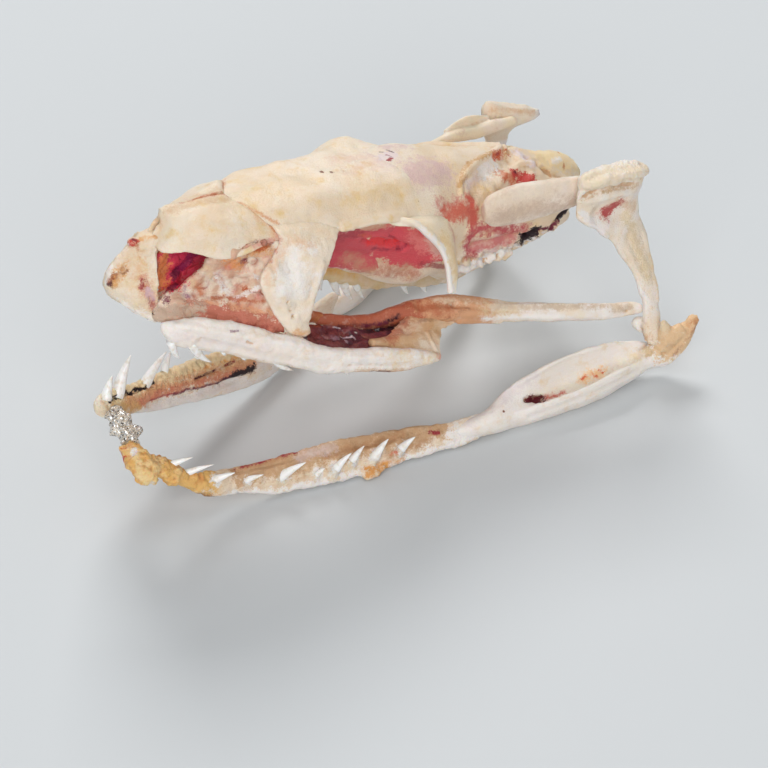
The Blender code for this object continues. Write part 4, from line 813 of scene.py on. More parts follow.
blood_and_painted_hole_shade = [
    (ROSE, (58.0, -8.8, 11.0), (63.0, -8.8, 10.4), 2.4, 1.8, 0.8),
    (tint(214, 110, 88), (60.0, -9.4, 10.0), (66.4, -8.9, 8.6), 2.1, 1.5, 1.2),
    (tint(208, 96, 80), (65.2, -8.0, 11.6), (66.8, -9.2, 5.4), 1.7, 1.3, 1.2),
    (tint(198, 86, 88), (67.0, -9.2, 5.4), (79.0, -8.8, 3.6), 1.9, 1.5, 1.1),
    (tint(190, 80, 86), (66.6, -9.0, 4.0), (68.6, -8.6, 0.0), 1.7, 1.4, 1.1),
    (tint(212, 128, 124), (69.0, -8.5, 1.6), (77.0, -8.4, 1.8), 1.8, 1.2, 1.0),
    (YELLOWED, (60.8, -8.6, 3.4), (65.0, -8.4, -1.8), 2.0, 1.3, 0.9),
    (LILAC, (70.0, -8.4, 0.2), (80.0, -8.2, -0.2), 1.0, 0.7, 0.6),
    (WHITE, (66.0, -7.9, -3.4), (76.0, -8.4, -1.0), 1.3, 0.6, 1.3),
    (WHITE, (76.0, -8.4, -1.0), (86.4, -7.6, 1.2), 1.2, 0.6, 1.2),
    # Painted shade: near black in the two sunken holes on each side.
    (SHADE_BLACK, (80.0, -7.6, 1.4), (82.0, -7.6, 2.4), 1.7, 0.5, 1.7),
    (tint(110, 30, 52), (82.2, -8.7, 2.4), (86.6, -7.8, 2.8), 0.6, 0.4, 1.1),
    (SHADE_BLACK, (87.4, -6.9, 4.0), (89.2, -6.6, 4.8), 1.3, 0.5, 1.6),
    (tint(110, 30, 52), (86.2, -7.7, 1.8), (87.2, -8.0, 3.4), 0.7, 0.4, 1.1),
    (tint(222, 84, 94), (51.0, -6.2, 4.4), (58.0, -6.8, 1.0), 5.0, 1.4, 1.8),
    (tint(240, 132, 128), (55.0, -8.4, 6.0), (58.6, -8.8, 2.0), 2.5, 1.6, 1.3),
    (tint(246, 190, 178), (58.0, -9.2, 5.2), (61.0, -8.4, 0.6), 1.7, 1.2, 1.3),
    (tint(228, 86, 88), (51.6, -8.4, 8.0), (56.6, -8.6, 6.0), 1.4, 1.2, 1.0),
    (tint(234, 66, 70), (49.0, -5.4, 3.7), (54.0, -5.8, 3.0), 1.35, 1.0, 1.3),
    (tint(150, 30, 48), (50.0, -6.6, 5.2), (54.8, -6.8, 4.2), 0.5, 0.6, 0.9),
    (tint(132, 28, 56), (50.0, -5.2, 1.8), (55.0, -5.8, 1.5), 0.6, 0.7, 1.0),
    (tint(132, 28, 56), (55.0, -5.8, 1.5), (55.8, -6.4, 3.2), 0.5, 0.6, 1.0),
    (tint(208, 148, 122), (51.0, -4.2, -3.0), (60.0, -5.6, -4.2), 2.6, 2.4, 1.0),
    (CRIMSON, (60.0, -6.8, -1.8), (65.0, -7.6, -3.0), 1.2, 0.9, 0.8),
]
finish = bone_finish("brain_box_finish", CREAM, IVORY, YELLOWED, [
    (tint(224, 192, 184), (54.8, -4.5, 15.4), (60.4, -4.2, 15.0), 3.8, 2.2, 1.0),
    (tint(222, 190, 186), (54.0, 2.8, 15.8), (58.0, 2.4, 15.8), 2.2, 1.8, 0.8),
    (tint(206, 160, 108), (63.6, -6.8, 13.3), (67.4, -3.5, 15.1), 0.9, 0.6, 1.0),
    (tint(206, 160, 108), (67.4, -3.5, 15.1), (74.0, -1.5, 15.3), 0.7, 0.5, 1.0),
    (tint(230, 212, 208), (65.6, -6.4, 12.6), (70.0, -4.6, 13.4), 1.5, 1.2, 0.9),
    (WHITE, (70.0, -4.6, 13.3), (74.4, -3.2, 14.0), 1.6, 0.9, 1.2),
    (tint(214, 120, 84), (74.6, -5.0, 12.6), (79.4, -6.6, 10.8), 1.6, 1.0, 1.0),
    (tint(204, 70, 62), (77.4, -4.5, 12.4), (80.8, -5.6, 11.4), 1.3, 0.7, 1.4),
    (MAROON, (77.6, -4.3, 12.6), (78.4, -4.5, 12.3), 0.5, 0.3, 1.0),
    (tint(206, 96, 58), (74.4, -1.9, 14.9), (78.4, -1.2, 14.3), 1.0, 0.6, 1.2),
    (CRIMSON, (75.2, -1.6, 14.8), (77.0, -1.4, 14.7), 0.45, 0.3, 1.0),
    (tint(232, 216, 214), (80.6, -0.8, 13.8), (82.4, -3.4, 12.8), 1.5, 1.0, 1.1),
    (tint(246, 220, 174), (86.4, -1.0, 12.6), (96.4, -1.0, 9.6), 3.0, 1.2, 1.3),
    (WHITE, (88.4, -2.2, 12.0), (90.4, -1.6, 12.4), 0.9, 0.7, 0.9),
    (tint(196, 122, 66), (90.6, -3.0, 10.8), (91.6, 0.6, 12.2), 0.4, 0.3, 0.9),
    (tint(236, 218, 214), (51.8, 0.0, 16.4), (53.4, 0.3, 16.4), 1.9, 0.9, 1.2),
    (MAROON, (51.9, 1.7, 16.4), (52.4, 1.5, 16.4), 0.3, 0.3, 1.1),
    (MAROON, (53.5, 1.9, 16.4), (54.1, 0.9, 16.4), 0.3, 0.3, 1.0),
    (CRIMSON, (51.7, -1.2, 16.4), (52.6, -0.8, 16.4), 0.5, 0.35, 1.2),
    (tint(160, 70, 84), (52.4, 0.6, 16.4), (53.0, -0.2, 16.4), 0.3, 0.3, 0.9),
    # Painted shade: near black in the sunken opening above the neck knob.
    (SHADE_BLACK, (91.5, 0, 4.2), (95.0, 0, 4.4), 2.0, 0.7, 0.9),
], cloud=0.09, pores=0.6, fibres=0.25, relief=0.7, paired=blood_and_painted_hole_shade)
set_down(braincase, CRANIUM_BED, finish)
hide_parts("braincase")


# POSTORBITALS.  Curved struts behind the eyes.  Each spreads over the braincase above and
# tapers to a free end below, with a thick white rim along the eye socket.

strut_rows = [
    [(46.0, 8.0, 11.0), (50.0, 7.6, 11.6), (54.0, 7.4, 11.8), (58.6, 7.0, 11.6)],
    [(48.0, 9.8, 10.5), (51.4, 9.8, 10.6), (55.0, 9.5, 10.6), (59.4, 8.7, 10.1)],
    [(51.2, 11.8, 10.4), (53.8, 11.6, 10.1), (57.0, 11.0, 9.5), (60.8, 9.7, 8.6)],
    [(54.6, 12.4, 8.0), (56.4, 12.2, 7.7), (58.8, 11.7, 7.0), (61.8, 10.2, 5.8)],
    [(57.2, 13.0, 5.4), (58.6, 13.0, 5.1), (60.4, 12.5, 4.3), (62.2, 11.2, 3.2)],
    [(58.9, 13.7, 2.4), (59.9, 13.7, 2.1), (61.0, 13.4, 1.5), (62.2, 12.6, 0.8)],
    [(59.7, 14.4, -0.6), (60.4, 14.5, -0.8), (61.1, 14.4, -1.1), (61.8, 14.1, -1.3)],
    [(60.1, 15.1, -2.5), (60.6, 15.1, -2.7), (61.0, 15.1, -2.8), (61.3, 15.0, -2.9)],
]
for side, word in SIDES:
    rows = [placed(row, side) for row in strut_rows]
    rim = [(48.6, side * 10.0, 10.8, 0.3, 0.3)]
    front_edge = [row[0] for row in rows[2:]]
    rim += [(x, y - side * 0.3, z - 0.1, 0.6, 0.6) for x, y, z in front_edge]
    postorbital = grown("eye_rear_strut_" + word, [sheet(rows, 1.1), rod(rim)], 0.23, 4)
    roughened(postorbital, *CRANIUM_SWELL)
    main, pale, aged = tint(247, 226, 193), tint(250, 236, 214), tint(240, 210, 166)
    finish = bone_finish("eye_rear_finish_" + word, main, pale, aged, stains_and_painted_light_on(side, [
        (tint(222, 188, 186), (54.0, 8.4, 12.4), (58.6, 8.0, 12.2), 2.0, 1.4, 0.7),
        (ROSE, (59.6, 9.2, 10.4), (62.0, 10.4, 5.0), 1.6, 1.4, 0.6),
        (YELLOWED, (58.0, 12.0, 7.0), (61.4, 13.8, 0.4), 1.8, 1.6, 0.75),
        (WHITE, (51.2, 11.8, 10.2), (57.2, 13.0, 5.2), 1.1, 0.6, 1.2),
        (WHITE, (57.2, 13.0, 5.2), (60.2, 15.1, -2.6), 1.1, 0.6, 1.2),
        (IVORY, (46.0, 10.0, 11.4), (51.2, 11.8, 10.2), 1.0, 0.7, 0.9),
    ]), cloud=0.09, pores=0.1, fibres=0.25)
    set_down(postorbital, CRANIUM_BED, finish)
    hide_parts("postorbital_" + word)


# MAXILLAE.  Long white upper jaw bones, each with a row of hooked teeth grown to it.  Most
# teeth are broken short; the front ones are whole, and glassy at their tips.

# How teeth bulge between root and tip, and where short ones point, in tooth lengths.
HOOKED_BACK = (-0.2, 0.0, -0.22)
SHORT_HOOK = (-0.25, 0.0, -0.18)
LEANS_BACK = 0.62
LEANS_IN = 0.10
HANGS_DOWN = 0.78
TOOTH_GLOW_DEPTH = 0.0003


def tooth(base, tip, radius, hook, sides=14, rings=12):
    """A round tooth that leaves the jaw steeply and hooks over toward its tip."""
    foot = np.array(base, float)
    run = np.array(tip, float) - foot
    length = np.linalg.norm(run)
    bulge = np.array(hook, float) * length
    across = np.cross(run, bulge)
    across = across / np.linalg.norm(across)
    upward = np.cross(across, run / length)
    turns = np.arange(sides) * 2 * pi / sides
    stack = []
    for share in np.linspace(-0.14, 1.0, rings):
        above = max(share, 0.0)
        centre = foot + run * share + bulge * above * (1 - above)
        size = radius * max((1 - above) ** 0.72, 0.06)
        ring = centre + np.outer(np.cos(turns) * size, across)
        stack.append(ring + np.outer(np.sin(turns) * size, upward))
    return skin(stack)


def toothed(piece, teeth):
    """Add teeth, which take the piece's second material."""
    points = [tuple(v.co) for v in piece.data.vertices]
    faces = [tuple(p.vertices) for p in piece.data.polygons]
    bone_faces = len(faces)
    for form_points, form_faces in teeth:
        start = len(points)
        points += form_points.tolist()
        faces += [tuple(start + corner for corner in face) for face in form_faces]
    mesh = bpy.data.meshes.new(piece.name)
    mesh.from_pydata(points, [], faces)
    is_tooth = np.arange(len(faces)) >= bone_faces
    mesh.polygons.foreach_set("material_index", is_tooth.astype(np.int32))
    mesh.update()
    piece.data = mesh


def tooth_finish(name):
    """Smooth white enamel with yellower clouds."""
    material = bpy.data.materials.new(name)
    material.use_nodes = True
    tree = material.node_tree
    shader = tree.nodes["Principled BSDF"]
    drawn = shader_node(tree, "ShaderNodeAttribute", {}, attribute_name="drawn")
    clouds = shader_node(tree, "ShaderNodeTexNoise", {
        "Vector": drawn.outputs["Vector"], "Scale": 1.1, "Detail": 3.0})
    share = ramp(tree, clouds.outputs["Fac"], 0.45, 0.72)
    tree.links.new(blended(tree, share, tint(252, 250, 247), tint(236, 226, 212)),
                   shader.inputs["Base Color"])
    tree.links.new(ramp(tree, clouds.outputs["Fac"], 0.3, 0.7, 0.10, 0.24), shader.inputs["Roughness"])
    shader.inputs["Subsurface Weight"].default_value = 0.10
    shader.inputs["Subsurface Scale"].default_value = TOOTH_GLOW_DEPTH
    return material


enamel = tooth_finish("tooth_finish")


def hanging(rows, side):
    """Teeth that hang and hook back: x, outward and z of the root, and length."""
    teeth = []
    for x, out, z, length in rows:
        tip = (x + LEANS_BACK * length, side * (out - LEANS_IN * length), z - HANGS_DOWN * length)
        radius = 0.22 * length ** 0.6 + 0.28
        teeth.append(tooth((x, side * out, z), tip, radius, SHORT_HOOK))
    return teeth


jaw_beam = [(6.4, 8.1, -3.5, 0.4, 0.5), (7.8, 8.7, -4.3, 1.1, 1.6), (9.6, 9.4, -4.9, 1.4, 2.5),
            (13.0, 10.7, -5.0, 1.5, 2.9), (17.5, 12.0, -5.8, 1.6, 3.0), (23.4, 14.0, -7.2, 1.7, 2.8),
            (29.0, 15.6, -8.5, 1.6, 2.6), (35.0, 17.0, -10.2, 1.5, 2.4),
            (41.0, 18.0, -10.5, 1.5, 2.2), (48.0, 19.0, -11.1, 1.4, 2.2),
            (52.6, 19.4, -11.5, 1.1, 1.6), (56.8, 19.6, -11.8, 0.4, 0.6)]
jaw_shelf = [(22.4, 12.8, -6.6, 1.0, 0.7), (25.6, 11.0, -6.8, 2.0, 0.6), (28.4, 13.6, -7.6, 1.0, 0.7)]
front_fangs = [((8.4, 9.3, -6.8), (10.9, 9.0, -10.4), 0.85), ((11.8, 10.5, -7.0), (16.4, 10.3, -11.3), 0.95),
               ((25.4, 14.9, -9.4), (30.0, 14.7, -12.6), 0.85)]
short_teeth = [(17.0, 11.9, -8.3, 1.3), (20.4, 13.0, -9.2, 1.2), (22.8, 13.8, -9.6, 1.0),
               (31.0, 15.9, -11.0, 1.1), (35.0, 16.9, -12.1, 1.5), (38.6, 17.5, -12.2, 1.8),
               (42.6, 18.2, -12.4, 1.2), (46.6, 18.8, -12.8, 1.0)]
for side, word in SIDES:
    forms = [rod(placed(jaw_beam, side)), rod(placed(jaw_shelf, side))]
    roots = [(x, out, z) for x, out, z, _ in short_teeth] + [base for base, _, _ in front_fangs]
    forms += [rod([(x, side * out, z + 1.3, 0.95, 0.95), (x + 0.4, side * out, z - 0.25, 0.7, 0.7)])
              for x, out, z in roots]
    maxilla = grown("upper_jaw_" + word, forms, 0.23, 4)
    worked(maxilla, strokes_on(side, [
        ([(8.0, 10.0, -3.0), (22.0, 14.8, -5.0), (36.0, 18.0, -8.6)], 0.9, 0.3),
        ([(12.0, 12.0, -5.6), (34.0, 18.0, -10.2)], 1.2, -0.35),
        ([(38.0, 18.6, -9.2), (52.0, 20.0, -10.6)], 0.7, 0.35),
        ([(38.0, 19.2, -10.6), (50.0, 20.2, -11.6)], 0.8, -0.3),
        ([(19.5, 14.2, -5.6), (20.3, 14.5, -5.9)], 0.4, -0.6),
        ([(12.0, 11.8, -5.0)], 0.35, -0.4),
        ([(29.4, 17.0, -8.4)], 0.35, -0.5),
    ]))
    roughened(maxilla, 3.4, 0.3, 101)
    roughened(maxilla, 0.9, 0.12, 103)
    fangs = [tooth((bx, side * by, bz), (tx, side * ty, tz), size, HOOKED_BACK)
             for (bx, by, bz), (tx, ty, tz), size in front_fangs]
    toothed(maxilla, fangs + hanging(short_teeth, side))
    finish = bone_finish("upper_jaw_finish_" + word, WHITE, tint(244, 232, 222), CREAM, stains_and_painted_light_on(side, [
        (CREAM, (12.0, 10.6, -8.2), (26.0, 14.8, -10.4), 1.5, 1.1, 0.8),
        (tint(226, 212, 212), (8.0, 10.4, -5.0), (22.0, 15.0, -6.6), 2.0, 1.9, 0.4),
        (tint(160, 122, 134), (16.6, 13.2, -3.7), (17.8, 13.2, -3.8), 0.34, 0.25, 0.9),
        (AMBER, (23.0, 11.0, -6.2), (28.6, 13.4, -6.8), 1.5, 0.9, 0.9),
        (TAN, (22.0, 14.0, -9.8), (30.0, 16.0, -11.0), 1.2, 0.9, 0.55),
        (YELLOWED, (46.0, 19.0, -10.2), (56.8, 19.6, -11.8), 2.2, 1.8, 0.6),
        (TAN, (40.0, 18.6, -12.4), (50.0, 19.8, -13.0), 1.3, 0.9, 0.75),
        (MAROON, (43.2, 18.9, -12.8), (46.0, 19.2, -13.0), 0.95, 0.5, 0.95),
        (ROSE, (55.6, 19.6, -11.6), (57.2, 19.6, -11.8), 0.9, 0.7, 0.7),
    ]), cloud=0.16, pores=0.25, fibres=0.4)
    set_down(maxilla, CRANIUM_BED, finish, enamel)
    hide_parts("maxilla_" + word)


# PALATINES.  Front bones of the inner tooth rows: slender yellowish bars, each with five
# hooked teeth.  The right one has dropped toward the midline as the membranes dried.

palatine_bars = {
    "left": ([(15.0, 5.6, -4.6, 0.7, 0.8), (20.0, 6.2, -5.2, 1.1, 1.2), (27.0, 6.8, -6.2, 1.2, 1.4),
              (33.0, 7.4, -7.0, 1.1, 1.4), (39.0, 8.2, -8.0, 0.8, 1.0)],
             [(18.0, 6.0, -6.0, 1.8), (22.4, 6.4, -6.6, 2.0), (27.0, 6.8, -7.3, 2.0),
              (31.6, 7.2, -8.0, 1.9), (35.6, 7.7, -8.3, 1.7)]),
    "right": ([(15.0, 3.2, -4.8, 0.7, 0.8), (20.0, 3.3, -5.5, 1.1, 1.2), (27.0, 3.8, -6.6, 1.2, 1.4),
               (33.0, 4.2, -7.6, 1.1, 1.4), (39.0, 4.6, -8.3, 0.8, 1.0)],
              [(18.0, 3.2, -6.1, 2.0), (22.4, 3.5, -6.9, 2.2), (27.0, 3.8, -7.7, 2.4),
               (31.6, 4.1, -8.6, 2.6), (35.6, 4.3, -8.9, 2.8)]),
}
for side, word in SIDES:
    bar, roots = palatine_bars[word]
    palatine = grown("inner_bar_front_" + word, [rod(placed(bar, side))], 0.2, 3)
    roughened(palatine, 1.8, 0.3, 111)
    toothed(palatine, hanging(roots, side))
    stained = 0.9 if word == "left" else 0.15
    finish = bone_finish("inner_bar_front_finish_" + word, YELLOWED, CREAM, TAN, [
        (RUST, *placed((bar[0][:3], bar[-1][:3]), side), 3.0, 1.0, stained),
    ], crease=RUST)
    set_down(palatine, CRANIUM_BED, finish, enamel)
    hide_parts("palatine_" + word)


# PTERYGOIDS.  Rear bones of the inner tooth rows.  The left one broadens into an orange-brown
# plate and runs back as a white rod to the jaw joint; the right one has sunk below the
# braincase, and its long tooth row shows through the left eye socket.

left_pterygoid = [
    (38.0, 8.1, -8.0, 0.9, 1.0), (47.0, 9.6, -9.4, 1.3, 1.4), (52.0, 10.2, -8.9, 1.6, 1.7),
    (57.0, 10.8, -8.2, 2.1, 2.0), (62.0, 11.8, -7.7, 2.6, 2.1), (67.0, 13.2, -7.8, 2.6, 2.0),
    (73.0, 15.0, -8.3, 1.9, 1.8), (79.0, 16.8, -8.4, 1.6, 1.7), (86.0, 18.8, -8.4, 1.5, 1.6),
    (92.0, 20.2, -8.4, 1.35, 1.45), (97.6, 21.0, -8.3, 1.1, 1.2), (99.4, 21.5, -8.2, 0.9, 0.9)]
left_roots = [(41.6, 8.7, -9.3, 1.6), (46.0, 9.4, -10.4, 1.6), (50.6, 9.9, -10.2, 1.5),
              (55.2, 10.5, -9.9, 1.4), (59.8, 11.3, -9.6, 1.3)]
pterygoid = grown("inner_bar_rear_left", [rod(placed(left_pterygoid, -1))], 0.24, 4)
worked(pterygoid, [
    ([(63.0, -13.6, -6.2), (70.0, -15.8, -7.4), (80.0, -18.2, -8.1), (96.0, -21.8, -8.2)], 0.8, -0.6),
    ([(70.0, -15.0, -6.6), (96.0, -21.2, -7.2)], 0.6, 0.25),
    ([(57.0, -11.6, -6.6), (63.0, -13.2, -6.4)], 1.6, -0.6),
    ([(64.0, -14.4, -9.0), (72.0, -15.8, -9.4)], 1.0, 0.5),
    ([(40.0, -8.6, -7.0), (54.0, -10.8, -7.2)], 0.8, 0.3),
])
roughened(pterygoid, 3.0, 0.18, 121)
roughened(pterygoid, 0.9, 0.08, 123)
toothed(pterygoid, hanging(left_roots, -1))
finish = bone_finish("inner_bar_rear_finish_left", IVORY, WHITE, CREAM, [
    (tint(214, 160, 120), (50.0, -10.0, -8.6), (66.0, -13.2, -7.8), 7.0, 4.0, 1.5),
    (tint(184, 102, 74), (36.0, -8.4, -8.0), (55.0, -11.0, -8.4), 3.6, 2.0, 1.4),
    (tint(190, 112, 76), (57.0, -12.0, -7.0), (62.0, -13.4, -7.0), 1.9, 1.6, 0.9),
    (CREAM, (60.0, -11.4, -5.8), (70.0, -14.6, -6.8), 1.2, 1.0, 0.9),
    (MAROON, (42.0, -9.6, -9.4), (54.0, -11.6, -9.8), 1.0, 0.7, 0.7),
    (BROWN, (65.0, -14.8, -6.6), (60.0, -13.4, -9.0), 0.6, 0.5, 0.5),
    (tint(226, 200, 160), (69.0, -14.6, -7.4), (74.0, -15.8, -7.8), 2.4, 2.0, 0.8),
    # Painted shade and light along the rod: its upper facet greyer as shade, its lower facet white as light.
    (tint(216, 194, 170), (70.0, -15.6, -6.6), (96.6, -21.6, -7.5), 0.95, 0.7, 1.0),
    (WHITE, (68.0, -16.0, -8.5), (95.0, -21.6, -9.0), 0.9, 0.7, 1.0),
    (tint(58, 20, 34), (50.2, -11.6, -8.8), (52.6, -11.7, -7.8), 0.75, 0.7, 1.1),
    (tint(112, 40, 60), (46.0, -10.8, -9.4), (50.4, -11.6, -8.8), 0.6, 0.5, 1.1),
], cloud=0.2)
set_down(pterygoid, CRANIUM_BED, finish, enamel)
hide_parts("pterygoid_left")

right_pterygoid = [
    (38.0, 4.55, -7.4, 0.9, 1.2), (47.6, 4.4, -7.7, 1.1, 1.8), (51.5, 4.4, -8.5, 1.2, 2.1),
    (55.5, 4.6, -10.1, 1.2, 1.8), (60.5, 5.0, -12.1, 1.2, 1.5), (65.1, 5.4, -12.6, 1.2, 1.5),
    (70.0, 6.0, -13.4, 1.4, 1.7), (76.5, 7.2, -14.8, 1.5, 1.8), (84.0, 9.8, -16.4, 1.4, 1.5),
    (90.0, 13.0, -16.8, 1.2, 1.3), (95.0, 17.2, -15.6, 1.1, 1.1), (98.0, 20.4, -14.2, 0.9, 0.9)]
crest = [(64.8, 4.8, -11.6, 0.5, 0.6), (67.0, 4.7, -10.0, 0.6, 0.8), (68.8, 4.8, -9.6, 0.5, 0.6),
         (70.4, 5.2, -12.0, 0.5, 0.6)]
right_fangs = [((47.6, 4.2, -9.0), (48.4, 4.0, -11.4), 0.7), ((50.9, 4.2, -10.2), (53.1, 4.0, -13.3), 0.85),
               ((53.4, 4.3, -11.0), (56.0, 4.1, -14.6), 0.85), ((56.2, 4.4, -11.6), (58.7, 4.2, -14.8), 0.8),
               ((67.9, 5.4, -13.9), (69.5, 5.2, -16.3), 0.75), ((73.1, 6.2, -15.2), (74.4, 6.0, -17.2), 0.75)]
pterygoid = grown("inner_bar_rear_right", [rod(placed(right_pterygoid, 1)), rod(placed(crest, 1))], 0.24, 4)
worked(pterygoid, [
    ([(48.0, 3.4, -7.6), (56.0, 3.6, -10.4), (64.0, 4.4, -12.6)], 0.9, 0.3),
])
roughened(pterygoid, 2.0, 0.35, 127)
toothed(pterygoid, [tooth(base, tip, size, HOOKED_BACK) for base, tip, size in right_fangs])
finish = bone_finish(
    "inner_bar_rear_finish_right", tint(230, 202, 152), CREAM, YELLOWED, [
        (IVORY, (78.0, 7.0, -16.0), (98.0, 20.0, -14.0), 2.8, 1.6, 0.85),
        (tint(236, 190, 110), (46.0, 3.6, -6.2), (54.0, 3.8, -7.6), 1.6, 1.3, 0.9),
        (TAN, (60.0, 4.4, -13.4), (76.0, 6.4, -16.2), 1.0, 0.9, 0.5),
    ], cloud=0.25)
set_down(pterygoid, CRANIUM_BED, finish, enamel)
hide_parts("pterygoid_right")


# ECTOPTERYGOIDS.  Braces between outer and inner upper jaw bones.  On the left a thin tan web
# spreads from the brace to the inner bar, and the skin of the palate has dried in front of
# it, dark as tar with glossy blisters.

brace = [(44.0, 16.0, -9.0, 0.8, 0.5), (48.0, 16.0, -9.6, 1.4, 0.9), (52.5, 15.6, -10.2, 1.6, 1.3),
         (56.0, 15.2, -10.6, 1.3, 1.3)]
web_rows = [
    [(57.0, 10.4, -6.8), (53.0, 12.2, -7.9), (49.4, 14.2, -8.5), (47.4, 16.2, -9.2), (47.2, 18.2, -9.8)],
    [(60.6, 11.4, -7.0), (56.4, 12.8, -8.0), (52.6, 14.6, -8.6), (50.6, 16.6, -9.3), (50.8, 18.5, -10.2)],
    [(64.4, 12.4, -7.4), (59.8, 13.2, -8.5), (55.8, 15.0, -9.0), (53.8, 16.8, -9.6), (54.4, 18.8, -10.8)],
    [(67.6, 13.6, -8.6), (62.4, 13.7, -9.5), (57.6, 15.1, -9.7), (56.0, 16.8, -10.0), (57.3, 19.2, -11.7)],
]
for side, word, inner_end in ((-1, "left", (60.0, 14.6, -10.9, 0.8, 0.8)),
                              (1, "right", (64.0, 10.0, -12.6, 0.9, 0.9))):
    forms = [rod(placed(brace + [inner_end], side))]
    if word == "left":
        forms.append(sheet([placed(row, side) for row in web_rows], 1.0))
    ectopterygoid = grown("cheek_brace_" + word, forms, 0.22, 4)
    worked(ectopterygoid, strokes_on(side, [
        ([(57.0, 12.6, -7.6), (52.0, 15.0, -8.4)], 1.2, -0.35),
        ([(62.0, 13.4, -8.6), (56.4, 15.6, -9.2), (56.6, 18.6, -11.0)], 0.7, 0.35),
    ]))
    roughened(ectopterygoid, 2.6, 0.2, 131)
    finish = bone_finish(
        "cheek_brace_finish_" + word, tint(216, 176, 134), CREAM, TAN, stains_and_painted_light_on(side, [
            (tint(186, 96, 66), (47.6, 16.0, -9.0), (57.0, 11.0, -7.0), 1.8, 1.3, 0.75),
            (IVORY, (54.6, 17.4, -10.0), (57.6, 19.0, -11.6), 1.9, 1.2, 0.9),
            (BROWN, (56.0, 13.4, -8.4), (63.0, 12.8, -8.2), 0.7, 0.6, 0.5),
            (MAROON, (56.4, 11.4, -7.0), (51.0, 13.6, -8.0), 0.7, 0.5, 0.5),
        ]), cloud=0.2, fibres=0.6)
    set_down(ectopterygoid, CRANIUM_BED, finish)
    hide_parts("ectopterygoid_" + word)

palate_rows = [
    [(35.0, 8.4, -8.2), (42.5, 9.4, -9.2), (48.6, 10.4, -9.8), (54.0, 11.2, -9.0), (58.6, 12.2, -8.6)],
    [(34.0, 10.4, -8.6), (40.6, 11.6, -9.8), (46.6, 12.4, -10.2), (52.0, 13.0, -9.8), (55.4, 13.8, -9.6)],
    [(33.0, 13.2, -8.2), (38.4, 14.4, -9.6), (43.6, 15.0, -10.0), (48.2, 15.4, -10.2), (51.2, 15.8, -10.2)],
    [(32.0, 15.6, -8.6), (37.0, 16.8, -9.8), (41.6, 17.4, -9.8), (46.0, 18.0, -10.2), (49.6, 18.4, -10.6)],
]
palate = grown("dried_palate_left", [sheet([placed(row, -1) for row in palate_rows], 0.7)], 0.2, 2)
worked(palate, [
    ([(36.0, -12.0, -8.4), (42.0, -13.4, -9.4), (48.0, -14.4, -9.8)], 0.9, 0.6),
    ([(36.0, -14.4, -8.6), (41.0, -15.4, -9.6)], 1.0, 0.5),
    ([(48.8, -11.6, -9.8), (53.0, -12.0, -9.2)], 1.0, -0.9),
    ([(39.0, -12.6, -9.2), (43.0, -12.0, -9.6)], 0.8, -0.8),
])
roughened(palate, 2.2, 0.7, 137)
roughened(palate, 0.9, 0.2, 139)
tar = bone_finish("dried_palate", tint(104, 42, 58), tint(150, 78, 78), tint(66, 22, 36), [
    # Painted shade: near black in the two sunken dents.
    (SHADE_BLACK, (47.6, -11.0, -9.6), (54.0, -12.2, -9.0), 1.5, 0.7, 0.95),
    (SHADE_BLACK, (38.0, -12.0, -9.4), (43.0, -12.4, -9.8), 1.0, 0.6, 0.8),
    # Painted highlights: thin pale streaks along the rims of the dried skin, for their gloss.
    (tint(232, 214, 220), (40.6, -11.6, -10.1), (43.2, -12.0, -10.2), 0.35, 0.25, 1.2),
    (tint(232, 214, 220), (43.2, -12.0, -10.2), (43.6, -13.0, -10.0), 0.3, 0.25, 1.1),
    (tint(206, 180, 190), (40.2, -12.4, -9.9), (41.2, -13.7, -9.7), 0.35, 0.3, 1.0),
    (tint(226, 210, 214), (40.6, -9.6, -9.3), (42.2, -9.8, -9.5), 0.3, 0.25, 1.1),
    (tint(172, 128, 140), (37.6, -11.2, -9.6), (40.0, -12.2, -9.8), 0.8, 0.6, 0.8),
    # Painted highlight: a small white glint.
    (WHITE, (44.4, -11.4, -9.8), (45.8, -11.6, -10.0), 0.35, 0.3, 1.0),
    (RUST, (32.6, -15.0, -8.4), (46.0, -17.6, -10.0), 1.0, 0.8, 0.6),
    (tint(186, 96, 66), (36.0, -8.8, -8.2), (50.0, -10.6, -9.4), 1.0, 0.8, 0.7),
], cloud=0.4, pores=0.3, crease=SHADE_BLACK, relief=0.7)
tar.node_tree.nodes["Principled BSDF"].inputs["Coat Weight"].default_value = 0.5
set_down(palate, CRANIUM_BED, tar)


# SUPRATEMPORALS.  Smooth blades on the braincase that carry the quadrates: the left one a
# broad tongue, the right one a slender rod with a thin wing on its outer side.

